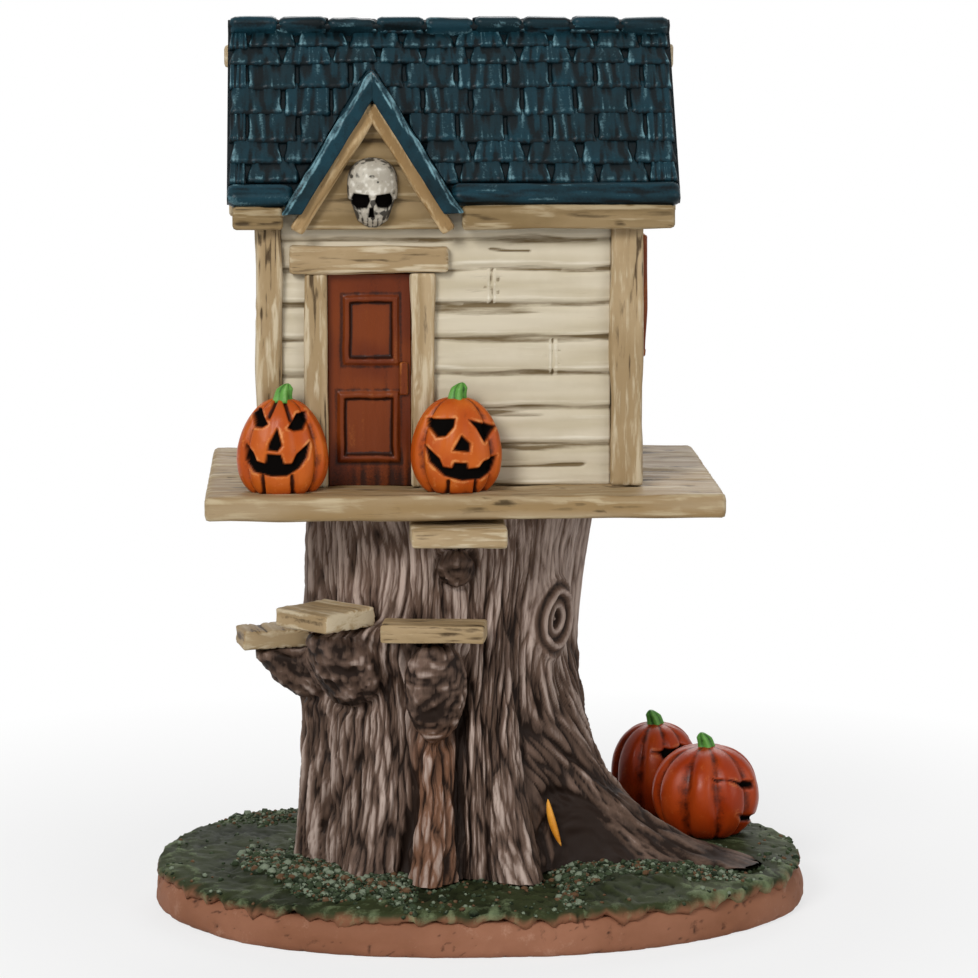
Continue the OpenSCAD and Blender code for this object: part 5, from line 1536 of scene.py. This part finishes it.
merry = pumpkin(PORCH_SIZE, 0.24, (-5.6, PORCH_Y, DECK_Z), AT_VISITOR, MERRY, MERRY_CREASES, 430,
                back=PORCH_BACK)
piece("porch_pumpkin_right_carved", [merry], orange, "pumpkin_resin", "porch_pumpkin_right")
sly = pumpkin((22, 22, 18), 0.0, (*PUMPKIN_FRONT, TURF_Z), -6, SLY, [], 440, ribs=9)
piece("ground_pumpkin_front_carved", [sly], red_orange, "pumpkin_resin", "ground_pumpkin_front")
slot_eyed = pumpkin((18.4, 18.4, 19), 0.0, (*PUMPKIN_BACK, TURF_Z), -14, SLOT, [], 450, ribs=9)
piece("ground_pumpkin_back_carved", [slot_eyed], red_orange, "pumpkin_resin", "ground_pumpkin_back")

# %% [markdown]
# ## Stems
# A pumpkin's stalk is cut short. It has five ridges, flares where it joins the fruit and bends over a
# little: to the right on the porch, to the left on the ground.

# %% Stems
def stem(node, seed):
    """A short bent stalk with five ridges that flares onto the pumpkin."""
    low, high = corners(node)
    a, v = np.meshgrid(np.linspace(0, 2 * np.pi, 40, endpoint=False),
                       np.array([0, *np.linspace(0, 0.9, 16), 0.97, 1.0]))
    lean = 1.0 if "porch" in node else -0.9
    base = low[0] + 1.25 if lean > 0 else high[0] - 1.3
    round_top = np.sqrt(np.clip((1.01 - v) / 0.3, 0, 1))
    ridges = np.cos(5 * a + 2 * v)
    r = (1.75 - 0.35 * v + 0.5 * np.exp(-v * 9)) * np.minimum(1, round_top) * (1 + 0.1 * ridges)
    spot = np.stack([3 * np.cos(a), 3 * np.sin(a), 3 * v], -1)
    rings = np.stack([base + r * np.cos(a) + lean * v * v, (low[1] + high[1]) / 2 + r * np.sin(a),
                      low[2] - 0.7 + (high[2] - low[2] + 0.3) * v], -1)
    relief = 0.5 + 0.3 * ridges + 0.15 * noise(spot, 1, seed) - 0.3 * ramp(v, 0.15, 0.0)
    return loft(rings, relief=np.clip(relief, 0, 1), streak=0.5 + 0.4 * noise(spot, 2, seed + 1))


for seed, node in enumerate(["porch_stem_left", "porch_stem_right", "ground_stem_front", "ground_stem_back"]):
    piece(node + "_moulded", [stem(node, 460 + seed)], stem_paint, "stem_resin", node)

# %% [markdown]
# ## The amber sliver
# A sliver of amber resin lies deep in the hollow between the front roots, thick at its middle and thin at
# both ends. It is a bent spindle. Its bright paint is a painted glow, and on the painted shade of the hollow
# it looks lit.

# %% Amber in the hollow
low, high = corners("root_light")
a, v = np.meshgrid(np.linspace(0, 2 * np.pi, 20, endpoint=False), np.linspace(0, 1, 40))
thick = 0.06 + np.sin(np.pi * v) ** 0.7
rings = np.stack([high[0] - 0.4 - 4.2 * v + 1.6 * v * v + 0.75 * thick * np.cos(a),
                  (low[1] + high[1]) / 2 - 0.4 + 0.9 * v + 0.8 * thick * np.sin(a),
                  low[2] + 0.8 + (high[2] - low[2]) * v], -1)
glint = loft(rings, relief=0.55 + 0.3 * noise(rings, 1.5, 470), streak=v)
piece("root_light_cast", [glint], amber, "amber_resin", "root_light")
